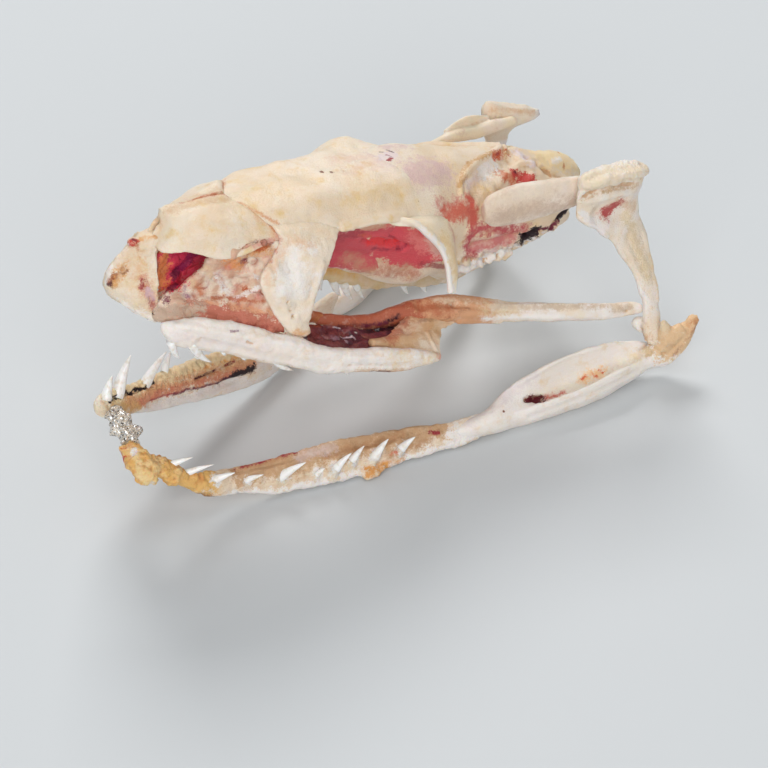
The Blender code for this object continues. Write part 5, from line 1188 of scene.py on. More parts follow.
left_blade = [(66.4, 11.0, 9.8, 0.8, 1.9), (68.2, 11.2, 10.2, 1.7, 3.2), (73.0, 11.3, 10.9, 2.1, 3.7),
              (79.0, 12.0, 11.6, 2.0, 3.5), (84.5, 12.5, 12.2, 1.4, 3.1), (89.4, 12.4, 12.6, 1.0, 2.4)]
right_blade = [(68.4, 8.6, 11.6, 0.5, 0.5), (72.4, 9.5, 12.0, 0.9, 0.8), (76.5, 10.3, 12.0, 1.2, 1.2),
               (81.0, 10.9, 11.8, 1.2, 1.3), (86.0, 11.4, 12.2, 1.0, 1.2), (90.0, 11.8, 12.4, 0.7, 0.8)]
right_wing = [(73.4, 10.6, 12.8, 0.4, 0.5), (76.6, 11.4, 13.0, 0.5, 1.3), (80.6, 12.0, 13.0, 0.5, 1.6),
              (84.6, 12.6, 12.4, 0.4, 1.2)]
# Each side: its bones, its tone, and how strongly shade is painted on its lower outer side.
for side, word, parts, tone, shade in (
        (-1, "left", [left_blade], tint(226, 205, 182), 0.75),
        (1, "right", [right_blade, right_wing], tint(238, 222, 194), 0.2)):
    supratemporal = grown("temple_blade_" + word, [rod(placed(part, side)) for part in parts], 0.22, 4)
    roughened(supratemporal, 3.6, 0.25, 141)
    roughened(supratemporal, 1.6, 0.05, 143)
    finish = bone_finish(
        "temple_blade_finish_" + word, tone, tint(240, 225, 210), tint(212, 184, 164), stains_and_painted_light_on(side, [
            # Painted shade darkens the lower outer side; painted light makes the top ivory.
            (tint(202, 174, 152), (68.0, 13.2, 9.6), (84.0, 14.0, 10.6), 2.4, 2.0, shade),
            (IVORY, (68.0, 12.4, 12.8), (88.0, 12.8, 14.8), 1.6, 1.3, 0.7),
            (YELLOWED, (86.6, 12.8, 12.8), (89.6, 12.6, 13.0), 1.6, 1.1, 0.6),
        ]), cloud=0.12, pores=0.0, fibres=0.15)
    set_down(supratemporal, CRANIUM_BED, finish)
    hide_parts("supratemporal_" + word)


# QUADRATES.  Fan-headed bones that hang from the temple blades and carry the lower jaw.  The
# head is a thick granular bar where gristle was attached; the shaft is smooth, with a sharp
# front edge, and a knob near its foot meets the rod of the inner jaw bone.

left_fan = [
    (89.4, 15.2, 18.2, 0.9, 5.2, 0.4), (89.6, 15.3, 16.8, 2.1, 7.2, 0.5), (89.6, 15.5, 14.4, 1.8, 7.2, 0.3),
    (89.8, 15.8, 11.2, 1.3, 7.1, 0.0), (90.6, 16.1, 8.8, 1.2, 7.0, 0.0), (93.3, 16.6, 6.6, 1.2, 5.5, 0.0),
    (95.7, 17.4, 4.4, 1.2, 4.3, 0.0), (97.2, 18.6, 1.8, 1.2, 3.2, 0.0), (98.8, 20.2, -1.6, 1.2, 2.3, 0.0),
    (99.9, 22.2, -5.8, 1.25, 1.8, 0.0), (100.0, 24.3, -9.2, 1.3, 1.7, 0.0),
    (99.8, 25.7, -11.1, 1.8, 2.0, 0.0), (99.8, 26.2, -12.3, 1.5, 1.8, 0.0)]
right_fan = [
    (91.8, 14.6, 13.9, 0.9, 6.6, -1.5), (91.8, 14.7, 12.4, 1.9, 7.2, -1.4),
    (90.6, 14.9, 10.6, 1.7, 4.8, -0.8), (90.0, 15.2, 8.6, 1.1, 3.0, -0.3),
    (91.4, 16.4, 5.4, 1.2, 2.8, 0.0), (93.8, 18.0, 1.8, 1.2, 2.5, 0.0),
    (96.4, 19.8, -2.6, 1.2, 2.1, 0.0), (97.2, 21.6, -6.6, 1.3, 1.8, 0.0),
    (97.7, 23.6, -10.0, 1.4, 1.8, 0.0), (97.8, 25.0, -11.5, 1.8, 2.1, 0.0),
    (97.8, 25.3, -12.4, 1.4, 1.7, 0.0)]


def fan_skin(stations, side):
    """Skin over level slices: centre, half thickness, half breadth and rise of the rear."""
    turns = np.arange(24) * 2 * pi / 24
    rings = []
    for x, out, z, thick, broad, rise in through(stations, 5):
        ring = np.stack([x + broad * np.cos(turns), side * (out + thick * np.sin(turns)),
                         z + rise * np.cos(turns)], axis=1)
        rings.append(ring)
    return skin(rings)


for side, word, fan, knob in (
        (-1, "left", left_fan, (98.9, 22.6, -10.6)), (1, "right", right_fan, (96.2, 21.8, -12.6))):
    x, out, z = knob
    knob_skin = rod(placed([(x - 1.5, out, z + 0.3, 0.5, 0.5), (x - 0.4, out, z, 1.3, 1.3),
                            (x + 1.4, out + 1.0, z - 0.4, 1.2, 1.2)], side))
    quadrate = grown("jaw_hanger_" + word, [fan_skin(fan, side), knob_skin], 0.24, 4)
    top = fan[1][2]
    worked(quadrate, strokes_on(side, [
        ([(81.8, 16.4, top - 4.4), (84.0, 16.9, top - 2.8), (86.6, 17.3, top - 1.9),
          (90.4, 17.5, top - 1.7), (94.0, 17.4, top - 2.0), (97.0, 17.0, top - 2.2)], 0.8, -1.0),
        ([(82.6, 16.8, top - 1.2), (87.0, 17.0, top + 0.2), (92.0, 17.0, top + 0.5),
          (96.4, 16.6, top + 0.1)], 1.3, 0.8),
        ([(84.0, 17.0, top - 4.4), (90.0, 17.4, top - 3.2), (95.6, 17.2, top - 3.6)], 0.8, 0.35),
        ([(87.6, 17.2, top - 6.6), (92.6, 17.4, top - 7.6)], 2.6, -1.0),
        ([(83.8, 17.2, top - 7.6), (89.0, 17.6, top - 10.6), (94.0, 18.8, 1.6),
          (97.6, 22.0, -4.6)], 1.0, 0.5),
        ([(97.2, 17.0, top - 7.0), (100.2, 19.6, 0.6), (101.4, 22.8, -6.0)], 0.9, 0.3),
        ([(94.4, 17.8, 5.2), (98.4, 21.0, -1.6)], 1.0, -0.35),
    ]))
    roughened(quadrate, 2.6, 0.3, 151)
    coarse = 1.0 if word == "left" else 0.4
    head = placed([(84.0, 15.6, top - 1.0), (97.0, 15.6, top)], side)
    roughened(quadrate, 1.3, 0.22 * coarse, 157, head, 5.0)
    roughened(quadrate, 0.45, 0.26 * coarse, 159, head, 5.0)
    foot = placed([(98.0, 24.4, -10.8), (100.0, 26.0, -12.0)], side)
    roughened(quadrate, 0.8, 0.4, 163, foot, 2.8)
    finish = bone_finish("jaw_hanger_finish_" + word, IVORY, WHITE, CREAM, stains_and_painted_light_on(side, [
        (tint(242, 224, 196), (82.6, 16.6, top), (97.0, 16.6, top + 0.4), 2.4, 1.2, 1.0),
        # Painted shadow: a tan line in the groove under the head's roll.
        (tint(206, 172, 130), (82.0, 16.4, top - 4.2), (86.6, 17.3, top - 2.0), 0.7, 0.5, 0.9),
        (tint(206, 172, 130), (86.6, 17.3, top - 2.0), (96.6, 17.2, top - 2.2), 0.7, 0.5, 0.9),
        (TAN, (90.4, 17.2, top - 4.6), (95.4, 17.4, top - 6.6), 1.6, 1.3, 0.6),
        (tint(218, 168, 112), (86.0, 13.6, top + 1.6), (96.6, 13.6, top), 0.9, 0.9, 0.65),
        (tint(224, 176, 156), (89.2, 16.3, 9.6), (91.2, 16.8, 11.6), 1.9, 1.4, 1.0),
        (tint(190, 84, 80), (89.5, 16.2, 9.5), (91.1, 16.7, 11.5), 1.45, 0.8, 1.3),
        (BROWN, (90.0, 17.2, top + 0.6), (90.1, 17.2, top + 0.6), 0.38, 0.2, 1.2),
        (WHITE, (83.4, 16.6, 10.6), (88.6, 17.2, 6.4), 0.9, 0.6, 1.2),
        (tint(222, 198, 158), (94.2, 16.9, 8.6), (98.9, 21.2, -1.4), 1.7, 1.5, 0.8),
        (YELLOWED, (99.8, 19.4, 1.4), (101.4, 22.4, -5.4), 1.1, 0.9, 0.75),
        (WHITE, (88.4, 17.4, 6.2), (97.8, 22.0, -4.8), 1.0, 0.6, 1.2),
        (WHITE, (97.4, 22.6, -10.6), (100.0, 23.6, -10.8), 1.6, 0.8, 0.9),
        (TAN, (98.6, 25.6, -11.2), (100.6, 26.4, -11.8), 1.8, 1.2, 0.7),
    ]), cloud=0.12, pores=0.6, fibres=0.4, relief=0.7)
    set_down(quadrate, CRANIUM_BED, finish)
    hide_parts("quadrate_" + word)


# DENTARIES.  Front halves of the lower jaw.  The left one has rolled outward, so that its
# inner face looks up and its teeth point out; the right one stands upright and shows the
# long groove of its inner face, brown with dried tissue, and painted black as shade where it
# is deepest.

def band(rows, steps=5, sides=20):
    """Skin over oval sections square to x: lower edge, upper edge and half the thickness."""
    turns = np.arange(sides) * 2 * pi / sides
    rings = []
    for x, low_y, low_z, high_y, high_z, thick in through(rows, steps):
        centre = np.array((x, (low_y + high_y) / 2, (low_z + high_z) / 2))
        along = np.array((0.0, high_y - low_y, high_z - low_z)) / 2
        through_it = np.array((0.0, -along[2], along[1]))
        through_it = through_it / np.linalg.norm(through_it) * thick
        rings.append(centre + np.outer(np.cos(turns), along) + np.outer(np.sin(turns), through_it))
    return skin(rings)


left_dentary = [
    (5.0, -10.0, 11.9, -8.8, 13.8, 1.0), (8.0, -12.0, 8.8, -10.3, 11.6, 1.3),
    (12.0, -13.5, 5.3, -11.6, 8.7, 1.4), (18.0, -13.8, 2.6, -11.9, 6.9, 1.5),
    (25.0, -16.0, 0.8, -12.9, 6.0, 1.5), (30.0, -17.4, 0.5, -13.7, 5.8, 1.5),
    (36.0, -19.3, 0.5, -14.4, 5.6, 1.5), (42.0, -20.6, 0.5, -15.8, 5.0, 1.5),
    (50.0, -21.8, 0.5, -18.2, 4.5, 1.4), (56.0, -23.2, 0.5, -20.3, 4.1, 1.2),
    (60.2, -24.0, 0.6, -21.2, 4.0, 1.2), (64.5, -24.2, 1.2, -22.0, 3.6, 0.9),
    (67.5, -24.3, 1.8, -23.0, 3.0, 0.4)]
left_lower_teeth = [
    ((7.0, -10.6, 12.0), (10.8, -12.6, 13.5), 0.75), ((9.4, -11.3, 9.4), (14.2, -13.5, 10.9), 0.75),
    ((13.8, -12.7, 6.6), (17.3, -14.9, 8.5), 0.9), ((19.2, -13.3, 4.1), (22.2, -15.9, 6.3), 0.8),
    ((25.4, -15.0, 2.9), (29.5, -17.6, 6.5), 1.05), ((31.6, -17.6, 2.6), (32.6, -18.6, 4.4), 0.6),
    ((34.5, -18.5, 2.6), (37.3, -19.7, 6.2), 0.9), ((37.8, -18.7, 2.9), (39.7, -20.0, 6.8), 0.85),
    ((41.9, -19.8, 2.9), (44.0, -20.9, 6.8), 0.95), ((46.5, -20.6, 2.7), (48.7, -22.1, 5.8), 0.9)]

HOOKED_UP = (-0.10, 0.0, 0.16)


def rising(rows):
    """Teeth that point up: root, tip and radius."""
    return [tooth(base, tip, radius, HOOKED_UP) for base, tip, radius in rows]


forms = [band(left_dentary), rod([(39.0, -20.4, 1.0, 0.5, 0.5), (39.8, -21.0, 0.8, 0.9, 0.7),
                                  (41.6, -21.2, 0.9, 0.7, 0.6), (42.8, -21.0, 1.2, 0.4, 0.4)])]
forms += [rod([(*(Vector(base) - (Vector(tip) - Vector(base)) * 0.25), 1.2, 1.2),
               (*(Vector(base) + (Vector(tip) - Vector(base)) * 0.18), 0.8, 0.8)])
          for base, tip, _ in left_lower_teeth]
dentary = grown("lower_jaw_front_left", forms, 0.22, 4)
worked(dentary, [
    ([(14.0, -11.8, 8.6), (25.0, -13.2, 6.2), (36.0, -15.0, 6.0), (50.0, -18.8, 5.0)], 0.8, 0.3),
    ([(19.0, -12.9, 6.4), (33.0, -15.4, 5.0), (46.0, -19.0, 4.2)], 0.8, -0.5),
    ([(30.0, -16.6, 3.6), (46.0, -20.0, 3.2)], 0.8, -0.3),
    ([(12.0, -13.6, 5.2), (25.0, -16.4, 1.4), (40.0, -20.6, 1.2), (56.0, -23.6, 1.2)], 0.9, 0.3),
    ([(34.0, -16.6, 5.4), (56.0, -21.4, 4.0)], 1.0, -0.25),
    ([(53.4, -21.3, 4.2)], 0.4, -0.5),
])
roughened(dentary, 2.2, 0.35, 171)
roughened(dentary, 0.8, 0.15, 172)
roughened(dentary, 0.9, 0.7, 173, [(5.0, -9.8, 13.2), (13.0, -12.6, 7.6)], 3.0)
toothed(dentary, rising(left_lower_teeth))
socket_white = [(WHITE, base, tuple(Vector(base) + (Vector(tip) - Vector(base)) * 0.2), 1.3, 0.7, 1.2)
                for base, tip, _ in left_lower_teeth[2:]]
finish = bone_finish("lower_jaw_front_finish_left", CREAM, IVORY, TAN, [
    (tint(208, 168, 128), (20.0, -13.2, 6.2), (54.0, -20.6, 4.4), 3.0, 1.6, 1.3),
    (tint(192, 142, 100), (18.0, -12.6, 6.8), (30.0, -14.0, 6.0), 0.9, 0.7, 0.9),
    (tint(192, 142, 100), (34.0, -16.6, 5.0), (48.0, -19.0, 4.4), 1.2, 1.0, 0.9),
    (tint(192, 142, 100), (44.0, -20.6, 2.4), (52.0, -21.8, 3.0), 1.1, 0.9, 0.8),
    (tint(228, 206, 198), (30.0, -15.0, 5.4), (36.0, -16.0, 5.4), 1.4, 1.1, 0.8),
    (WHITE, (14.0, -13.9, 4.0), (25.0, -16.4, 1.2), 1.4, 0.8, 1.3),
    (WHITE, (25.0, -16.4, 1.0), (56.0, -23.6, 0.8), 1.5, 0.8, 1.4),
    (WHITE, (57.0, -23.0, 2.4), (66.0, -23.6, 2.4), 3.0, 1.8, 1.2),
    (tint(232, 184, 110), (5.0, -9.6, 13.6), (12.6, -12.4, 7.6), 3.4, 1.1, 1.6),
    (tint(212, 128, 66), (6.0, -10.2, 12.6), (12.0, -12.6, 8.4), 1.2, 0.9, 0.6),
    (tint(246, 222, 176), (8.4, -10.6, 11.6), (11.6, -11.6, 9.0), 0.9, 0.7, 0.6),
    (BROWN, (11.0, -13.4, 5.8), (13.6, -13.8, 4.4), 0.9, 0.6, 0.9),
    (CRIMSON, (19.0, -12.6, 7.0), (30.0, -14.0, 6.3), 0.6, 0.4, 1.2),
    (CRIMSON, (52.9, -21.2, 4.3), (53.9, -21.4, 4.1), 0.75, 0.35, 1.4),
    (AMBER, (40.0, -20.9, 1.2), (43.0, -21.2, 1.0), 1.4, 0.8, 1.1),
    (AMBER, (43.0, -20.8, 1.6), (46.6, -21.4, 1.4), 0.8, 0.6, 0.8),
    (tint(206, 100, 64), (44.6, -20.9, 3.2), (45.6, -21.0, 3.4), 0.7, 0.5, 0.9),
] + socket_white, cloud=0.2, pores=0.6, fibres=0.8, relief=0.7)
set_down(dentary, GROUND_BED, finish, enamel)
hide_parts("dentary_left")

right_dentary = [
    (0.9, 1.3, 17.8, 1.5, 20.2, 0.5), (2.2, 1.4, 16.4, 1.9, 21.0, 1.0), (4.4, 1.8, 15.0, 2.8, 20.4, 1.2),
    (7.6, 2.6, 13.7, 3.9, 18.9, 1.3), (14.0, 4.4, 10.2, 6.3, 15.8, 1.4),
    (22.0, 6.2, 6.9, 8.6, 13.4, 1.5), (30.0, 7.9, 3.6, 10.4, 10.9, 1.6), (37.0, 9.3, 1.7, 11.7, 8.9, 1.6),
    (42.5, 11.0, 0.9, 13.0, 7.4, 1.6), (47.0, 12.7, 0.5, 14.4, 6.6, 1.5), (52.0, 14.6, 0.5, 16.1, 6.2, 1.4),
    (58.0, 17.0, 0.6, 18.3, 5.8, 1.2), (62.0, 18.8, 1.4, 19.6, 4.8, 0.7)]
right_lower_teeth = [
    ((3.4, 1.7, 20.2), (5.3, 2.6, 23.2), 1.0), ((6.4, 3.2, 18.8), (10.2, 4.8, 23.7), 1.25),
    ((13.3, 5.7, 15.9), (18.2, 7.0, 19.2), 1.0), ((17.9, 7.5, 15.2), (20.0, 8.6, 17.4), 0.75),
    ((25.0, 9.2, 12.0), (27.4, 10.6, 14.6), 0.7), ((31.0, 10.5, 10.1), (33.2, 11.8, 12.6), 0.7),
    ((37.0, 11.6, 8.4), (39.2, 12.8, 10.8), 0.6), ((43.0, 13.1, 6.8), (45.0, 14.2, 8.8), 0.6)]
dentary = grown("lower_jaw_front_right", [band(right_dentary)], 0.22, 3)
worked(dentary, [
    ([(12.0, 3.9, 13.0), (16.5, 5.1, 11.2), (22.6, 6.5, 8.8), (27.9, 7.4, 6.8), (32.6, 8.6, 5.4),
      (38.0, 10.1, 4.4)], 1.2, -1.0),
    ([(29.0, 7.6, 6.5), (37.2, 9.8, 4.6)], 0.9, -0.5),
    ([(23.4, 6.7, 11.0), (27.9, 7.8, 9.8), (32.2, 8.8, 9.0)], 0.5, -0.6),
    ([(4.4, 1.5, 19.2), (8.7, 3.2, 17.3), (14.0, 5.0, 15.2)], 0.6, -0.7),
    ([(12.0, 5.6, 16.0), (24.0, 8.8, 12.6), (34.0, 11.0, 9.6)], 1.3, 0.5),
    ([(12.0, 3.4, 11.6), (30.0, 7.2, 4.4), (40.0, 10.0, 1.8)], 0.9, 0.3),
])
roughened(dentary, 2.4, 0.18, 181)
roughened(dentary, 1.0, 0.55, 183, [(8.0, 3.6, 18.6), (14.0, 5.6, 15.6), (34.0, 10.8, 9.8)], 2.0)
roughened(dentary, 0.5, 0.2, 185, [(4.0, 1.8, 18.6), (14.0, 5.0, 14.6), (34.0, 10.0, 8.8)], 3.0)
toothed(dentary, rising(right_lower_teeth))
# Painted shade: near black along the sunken zigzag of empty tooth pits between the teeth.
zigzag = [(3.7, 1.3, 19.3), (5.2, 2.1, 19.0), (6.2, 2.4, 18.1), (7.4, 3.0, 18.2), (8.7, 3.3, 17.0),
          (10.0, 4.0, 17.0), (11.4, 4.5, 15.9), (14.2, 5.3, 15.2)]
painted_socket_shade = [(SHADE_BLACK, start, end, 0.52, 0.3, 1.5) for start, end in zip(zigzag, zigzag[1:])]
finish = bone_finish("lower_jaw_front_finish_right", IVORY, WHITE, CREAM, [
    (tint(242, 216, 172), (5.0, 2.0, 19.2), (35.0, 10.2, 9.6), 3.0, 1.3, 1.3),
    (tint(226, 168, 122), (8.0, 2.2, 16.2), (36.0, 8.9, 6.8), 2.0, 1.3, 1.2),
    (tint(216, 134, 104), (10.2, 2.8, 15.0), (36.0, 8.7, 6.0), 1.3, 1.1, 1.1),
    (tint(172, 60, 62), (12.6, 3.6, 13.5), (21.6, 5.8, 10.2), 0.45, 0.45, 1.1),
    (tint(120, 36, 52), (18.0, 5.0, 11.3), (28.5, 7.3, 7.4), 0.5, 0.4, 1.2),
    # Painted shade: darkest red-black and near black where the groove is deepest.
    (tint(86, 22, 44), (28.2, 7.3, 7.5), (33.0, 8.1, 6.5), 0.8, 0.6, 1.4),
    (SHADE_BLACK, (31.6, 7.9, 6.9), (36.2, 8.8, 5.8), 0.95, 0.6, 1.6),
    (MAROON, (23.4, 7.1, 10.6), (28.2, 8.3, 9.4), 0.42, 0.4, 1.2),
    (tint(150, 60, 56), (30.6, 9.0, 9.0), (32.4, 9.2, 8.8), 0.4, 0.35, 1.1),
    (tint(236, 168, 92), (18.0, 6.6, 13.2), (34.0, 9.9, 8.8), 0.6, 0.5, 0.9),
    (tint(226, 176, 110), (4.2, 1.2, 17.4), (9.0, 2.6, 14.4), 1.6, 1.0, 0.9),
    (WHITE, (9.0, 3.0, 12.4), (42.0, 10.8, 1.2), 1.5, 0.7, 1.4),
    (tint(244, 226, 196), (0.9, 1.0, 18.0), (3.4, 1.8, 20.6), 2.0, 0.9, 1.3),
    (TAN, (2.0, 0.8, 20.4), (3.6, 0.8, 17.6), 0.4, 0.3, 0.7),
] + painted_socket_shade, cloud=0.2, pores=0.8, fibres=0.8, relief=0.8)
set_down(dentary, GROUND_BED, finish, enamel)
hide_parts("dentary_right")


# COMPOUND BONES.  Rear halves of the lower jaw: a long open hollow for the jaw muscle between
# two lips, the joint with the quadrate with a horn behind it, and a hooked rear end, tan with
# dried tendon.  The right half lies farther forward and nearer the midline.

def oval_section(out, z, wide, high):
    """A jaw section as an oval, with its points where the hollow's sections have them."""
    turns = (-60, -12, 30, 52, 76, 104, 132, 180, 238)
    return [(out + wide * cos(radians(turn)), z + high * sin(radians(turn))) for turn in turns]


# How far back, how far the right half is moved outward there, and the outline.
jaw_sections = [
    (56.4, -5.2, oval_section(21.8, 2.4, 1.0, 0.9)),
    (59.2, -4.9, oval_section(22.6, 2.4, 1.6, 1.7)),
    (64.0, -4.3, oval_section(23.2, 2.5, 2.1, 2.4)),
    (68.0, -3.0, [(24.6, 0.0), (25.6, 1.6), (25.4, 3.4), (24.4, 4.2), (23.2, 4.9), (22.0, 5.8),
                  (21.1, 6.0), (20.7, 3.4), (22.0, 0.0)]),
    (72.0, -2.0, [(25.4, 0.0), (26.6, 2.0), (26.4, 4.4), (25.2, 4.1), (23.9, 4.0), (22.6, 6.0),
                  (21.6, 7.2), (20.9, 4.2), (22.5, 0.0)]),
    (76.0, -1.2, [(26.2, 0.0), (27.5, 2.4), (27.3, 5.0), (25.9, 3.7), (24.3, 3.2), (22.9, 5.8),
                  (21.9, 8.1), (21.0, 5.0), (23.0, 0.0)]),
    (81.0, -0.8, [(26.8, 0.0), (28.2, 2.6), (28.1, 5.5), (26.6, 3.7), (24.8, 3.0), (23.1, 5.6),
                  (22.1, 8.3), (21.2, 5.0), (23.4, 0.0)]),
    (86.0, -0.8, [(27.0, 0.0), (28.4, 2.8), (28.2, 5.7), (26.9, 4.1), (25.1, 3.5), (23.4, 5.8),
                  (22.4, 8.1), (21.6, 5.0), (23.8, 0.0)]),
    (91.0, -0.8, [(27.0, 0.6), (28.3, 3.0), (28.0, 5.5), (26.8, 4.7), (25.3, 4.4), (23.7, 5.8),
                  (22.9, 7.2), (22.2, 4.6), (24.2, 0.6)]),
    (95.0, -0.8, [(27.2, 1.8), (28.4, 3.4), (27.8, 5.0), (26.7, 5.2), (25.6, 5.2), (24.4, 5.6),
                  (23.6, 6.2), (23.2, 4.4), (24.8, 1.8)]),
    (98.6, -0.9, oval_section(27.4, 3.9, 2.0, 2.0)),
    (101.4, -1.2, oval_section(28.2, 6.4, 1.7, 2.1)),
    (103.4, -1.6, oval_section(28.4, 8.4, 1.3, 1.5)),
    (104.8, -1.8, oval_section(28.3, 9.8, 0.6, 0.7)),
]
for side, word, forward in ((-1, "left", 0.0), (1, "right", 2.6)):
    rings = []
    for x, shift, section in jaw_sections:
        moved = shift if side == 1 else 0.0
        ring = [(x - forward, side * (out + moved), z) for out, z in section]
        rings.append(round_through(ring, 3))
    inset = 1.6 if side == 1 else 0.0
    joint_horn = rod(placed([
        (96.8, 26.6, 4.4, 1.8, 1.8), (98.3, 27.2, 6.8, 1.8, 1.6), (98.5, 27.2, 9.4, 1.1, 1.3),
        (98.0, 27.0, 11.4, 0.5, 0.6)], side, forward, inset))
    tendon_bridge = rod(placed([
        (97.6, 27.4, 7.6, 1.5, 1.6), (99.8, 27.8, 7.8, 1.5, 1.9), (101.8, 28.2, 8.4, 1.3, 1.6)],
        side, forward, inset))
    jaw_skin = skin(through(rings, 6))
    compound = grown("lower_jaw_rear_" + word, [jaw_skin, joint_horn, tendon_bridge], 0.26, 4)
    worked(compound, strokes_on(side, [
        ([(73.0, 25.0, 4.0), (78.0, 25.4, 3.2), (90.0, 26.0, 4.4)], 1.6, -0.6),
        ([(71.0, 23.6, 4.0), (74.4, 24.3, 3.2)], 0.9, -1.0),
        ([(70.0, 26.2, 2.6), (80.0, 28.0, 3.6), (92.0, 28.3, 3.8)], 0.9, -0.2),
        ([(68.0, 25.2, 4.0), (76.0, 27.2, 5.2), (90.0, 28.2, 5.6)], 0.6, 0.25),
        ([(70.0, 21.6, 6.6), (80.0, 22.2, 8.3), (92.0, 23.0, 7.2)], 0.7, 0.25),
        ([(93.6, 25.6, 5.6), (96.6, 26.4, 5.4)], 1.0, 0.5),
        ([(101.0, 27.4, 8.0), (104.0, 28.0, 10.2)], 1.0, 0.3),
        ([(62.0, 24.0, 3.2), (62.3, 24.0, 3.2)], 0.3, -0.4),
    ], forward, inset))
    roughened(compound, 4.0, 0.22, 191)
    roughened(compound, 1.2, 0.3, 193, placed([(96.0, 27, 5), (105.0, 28.4, 10)], side), 3.6)
    roughened(compound, 0.5, 0.16, 195, placed([(94.0, 27, 4), (105.0, 28.4, 10)], side), 3.6)
    pale = tint(244, 236, 228)
    finish = bone_finish("lower_jaw_rear_finish_" + word, WHITE, pale, CREAM, stains_and_painted_light_on(side, [
        (tint(226, 212, 212), (60.0, 22.6, 4.2), (74.0, 21.6, 6.8), 1.8, 1.5, 0.6),
        (tint(246, 236, 220), (75.0, 25.0, 3.4), (92.0, 26.2, 4.6), 2.6, 1.6, 1.2),
        (tint(226, 200, 176), (74.0, 25.2, 3.6), (84.0, 26.4, 3.8), 0.6, 0.5, 0.8),
        (tint(206, 100, 84), (73.4, 24.0, 3.2), (78.6, 25.0, 3.0), 0.9, 1.0, 1.1),
        (tint(104, 24, 38), (71.2, 23.4, 3.5), (74.2, 24.0, 2.6), 1.25, 0.9, 1.6),
        (BROWN, (65.7, 24.2, 4.6), (65.75, 24.2, 4.6), 0.3, 0.15, 1.2),
        (tint(246, 206, 160), (83.2, 24.4, 3.8), (86.6, 24.9, 3.7), 1.6, 1.2, 1.1),
        (tint(224, 112, 74), (82.8, 24.2, 3.8), (83.8, 24.4, 4.1), 0.45, 0.35, 1.1),
        (tint(222, 104, 64), (84.8, 24.6, 4.1), (85.4, 24.9, 3.3), 0.45, 0.35, 1.1),
        (tint(222, 104, 64), (86.2, 24.6, 4.2), (87.0, 24.9, 3.6), 0.4, 0.35, 1.1),
        (YELLOWED, (93.0, 26.2, 5.0), (98.0, 27.0, 5.6), 2.0, 1.6, 0.5),
        (tint(216, 188, 146), (95.4, 26.8, 5.2), (98.6, 27.6, 5.4), 1.5, 1.1, 0.9),
        (tint(228, 204, 170), (97.4, 27.6, 5.4), (98.4, 27.4, 11.6), 2.1, 1.0, 1.3),
        (tint(226, 190, 148), (99.6, 27.9, 6.6), (104.8, 28.3, 10.0), 4.4, 2.2, 1.6),
        (tint(206, 146, 98), (99.6, 28.2, 6.4), (104.4, 28.7, 9.8), 1.1, 0.9, 0.9),
        (tint(150, 86, 66), (98.9, 29.4, 4.6), (104.0, 29.4, 9.4), 0.6, 0.8, 0.8),
        (WHITE, (60.0, 23.6, 1.6), (92.0, 28.2, 2.0), 1.6, 1.2, 0.6),
    ], forward, inset), cloud=0.12, pores=0.2, fibres=0.35, relief=0.5)
    set_down(compound, GROUND_BED, finish)
    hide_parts("compound_bone_" + word)


# CHIN.  Dried ligament, orange and clear like resin, ties the tip of the left lower jaw to a
# lump of glue full of silvery glitter, which sticks to the tip of the right one.

ligament = grown("chin_tie", [
    rod([(1.8, -6.6, 16.4, 1.3, 1.0), (2.2, -9.4, 15.0, 2.2, 1.6), (2.4, -11.6, 13.6, 2.0, 1.5),
         (2.6, -13.4, 12.4, 0.9, 0.7)]),
    rod([(2.4, -9.8, 14.6, 1.5, 1.3), (5.0, -10.6, 12.9, 1.9, 1.6), (8.0, -11.8, 10.4, 1.8, 1.5)]),
], 0.2, 3)
roughened(ligament, 1.6, 0.6, 201)
roughened(ligament, 0.6, 0.3, 203)
resin = bone_finish("dried_ligament", tint(234, 186, 112), tint(244, 216, 160), tint(216, 148, 76), [
    (tint(206, 118, 60), (2.0, -8.0, 16.0), (8.0, -11.0, 11.4), 1.6, 1.2, 0.5),
    (tint(206, 60, 40), (1.0, -7.4, 15.8), (0.8, -9.6, 14.4), 1.1, 0.7, 1.3),
    (WHITE, (2.0, -9.0, 16.4), (1.8, -11.8, 13.6), 0.9, 0.5, 1.4),
    (WHITE, (1.6, -11.6, 13.2), (2.6, -13.0, 12.4), 1.0, 0.6, 0.8),
    (RUST, (4.0, -8.6, 15.4), (6.0, -9.4, 14.0), 0.6, 0.4, 0.6),
], cloud=0.4, pores=0.2, fibres=0.6, crease=tint(190, 116, 56), relief=0.8)
resin.node_tree.nodes["Principled BSDF"].inputs["Subsurface Weight"].default_value = 0.5
set_down(ligament, GROUND_BED, resin)
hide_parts("chin_ligament")

glue = grown("glitter_glue", [
    rod([(3.6, 0.6, 17.4, 1.2, 1.1), (3.6, -2.2, 16.8, 1.8, 1.4), (3.6, -4.4, 16.4, 2.0, 1.4),
         (2.8, -6.4, 16.2, 1.5, 1.0)]),
], 0.16, 2)
roughened(glue, 1.3, 0.9, 211)
roughened(glue, 0.45, 0.25, 213)
glitter = bpy.data.materials.new("glitter_in_glue")
glitter.use_nodes = True
tree = glitter.node_tree
shader = tree.nodes["Principled BSDF"]
drawn = shader_node(tree, "ShaderNodeAttribute", {}, attribute_name="drawn")
flakes = shader_node(tree, "ShaderNodeTexVoronoi", {"Vector": drawn.outputs["Vector"], "Scale": 5.2})
kind = shader_node(tree, "ShaderNodeSeparateColor", {"Color": flakes.outputs["Color"]})
bright = ramp(tree, kind.outputs[0], 0.50, 0.62)
dark = ramp(tree, kind.outputs[1], 0.84, 0.88)
colour = blended(tree, ramp(tree, kind.outputs[2], 0.1, 0.9), tint(214, 196, 172), tint(232, 222, 208))
colour = blended(tree, bright, colour, tint(244, 244, 242))
colour = blended(tree, dark, colour, tint(70, 60, 54))
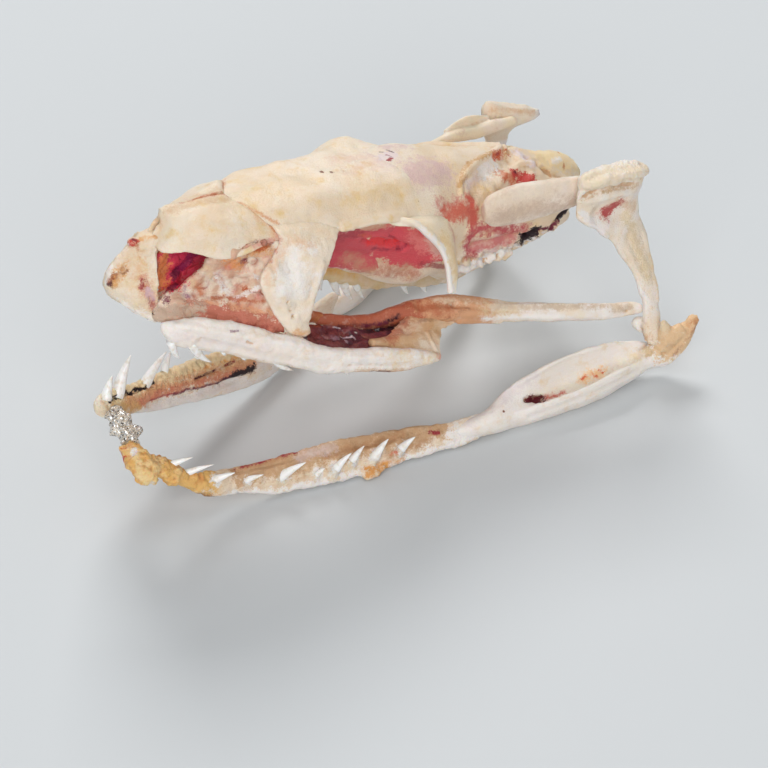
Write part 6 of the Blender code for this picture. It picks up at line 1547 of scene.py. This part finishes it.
tree.links.new(colour, shader.inputs["Base Color"])
tree.links.new(sums(tree, "MULTIPLY", bright, 0.75), shader.inputs["Metallic"])
tree.links.new(ramp(tree, kind.outputs[2], 0.0, 1.0, 0.12, 0.40), shader.inputs["Roughness"])
bump = shader_node(tree, "ShaderNodeBump", {
    "Height": kind.outputs[2], "Distance": UNIT * 0.4, "Strength": 1.0})
tree.links.new(bump.outputs["Normal"], shader.inputs["Normal"])
set_down(glue, GROUND_BED, glitter)
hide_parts("glue_lump")


# STUDIO.  A plain pale floor, a soft light from behind and to the right, as in the
# photograph, a broader one from the front, a faint one from above, and a camera at the
# photograph's angle.

floor_mesh = bpy.data.meshes.new("floor")
floor_mesh.from_pydata([(-3, -3, 0), (3, -3, 0), (3, 3, 0), (-3, 3, 0)], [], [(0, 1, 2, 3)])
floor = bpy.data.objects.new("floor", floor_mesh)
bpy.context.scene.collection.objects.link(floor)
paper = bpy.data.materials.new("pale_floor")
paper.use_nodes = True
paper.node_tree.nodes["Principled BSDF"].inputs["Base Color"].default_value = (0.62, 0.64, 0.65, 1.0)
paper.node_tree.nodes["Principled BSDF"].inputs["Roughness"].default_value = 0.9
floor_mesh.materials.append(paper)

for name, place, aim, size, power in (
        ("key_light", (0.20, 0.42, 0.46), (0.0, 0.0, 0.015), 0.24, 2.5),
        ("front_light", (-0.30, -0.42, 0.34), (0.0, 0.0, 0.02), 0.50, 2.5),
        ("top_light", (0.02, -0.04, 0.60), (0.0, 0.0, 0.0), 0.40, 0.6)):
    lamp = bpy.data.lights.new(name, "AREA")
    lamp.size = size
    lamp.energy = power
    holder = bpy.data.objects.new(name, lamp)
    holder.location = place
    holder.rotation_euler = (Vector(aim) - Vector(place)).to_track_quat("-Z", "Y").to_euler()
    bpy.context.scene.collection.objects.link(holder)
sky = bpy.data.worlds.new("soft_room")
sky.use_nodes = True
sky.node_tree.nodes["Background"].inputs["Color"].default_value = (0.80, 0.84, 0.88, 1.0)
sky.node_tree.nodes["Background"].inputs["Strength"].default_value = 0.28
bpy.context.scene.world = sky
bpy.context.scene.view_settings.view_transform = "Standard"

lens = bpy.data.cameras.new("photo_camera")
lens.sensor_width = 36
lens.lens = 134.96
camera = bpy.data.objects.new("photo_camera", lens)
camera.location = (-0.15282, -0.22306, 0.22745)
camera.rotation_euler = (radians(50), 0, radians(-35))
bpy.context.scene.collection.objects.link(camera)
bpy.context.scene.camera = camera
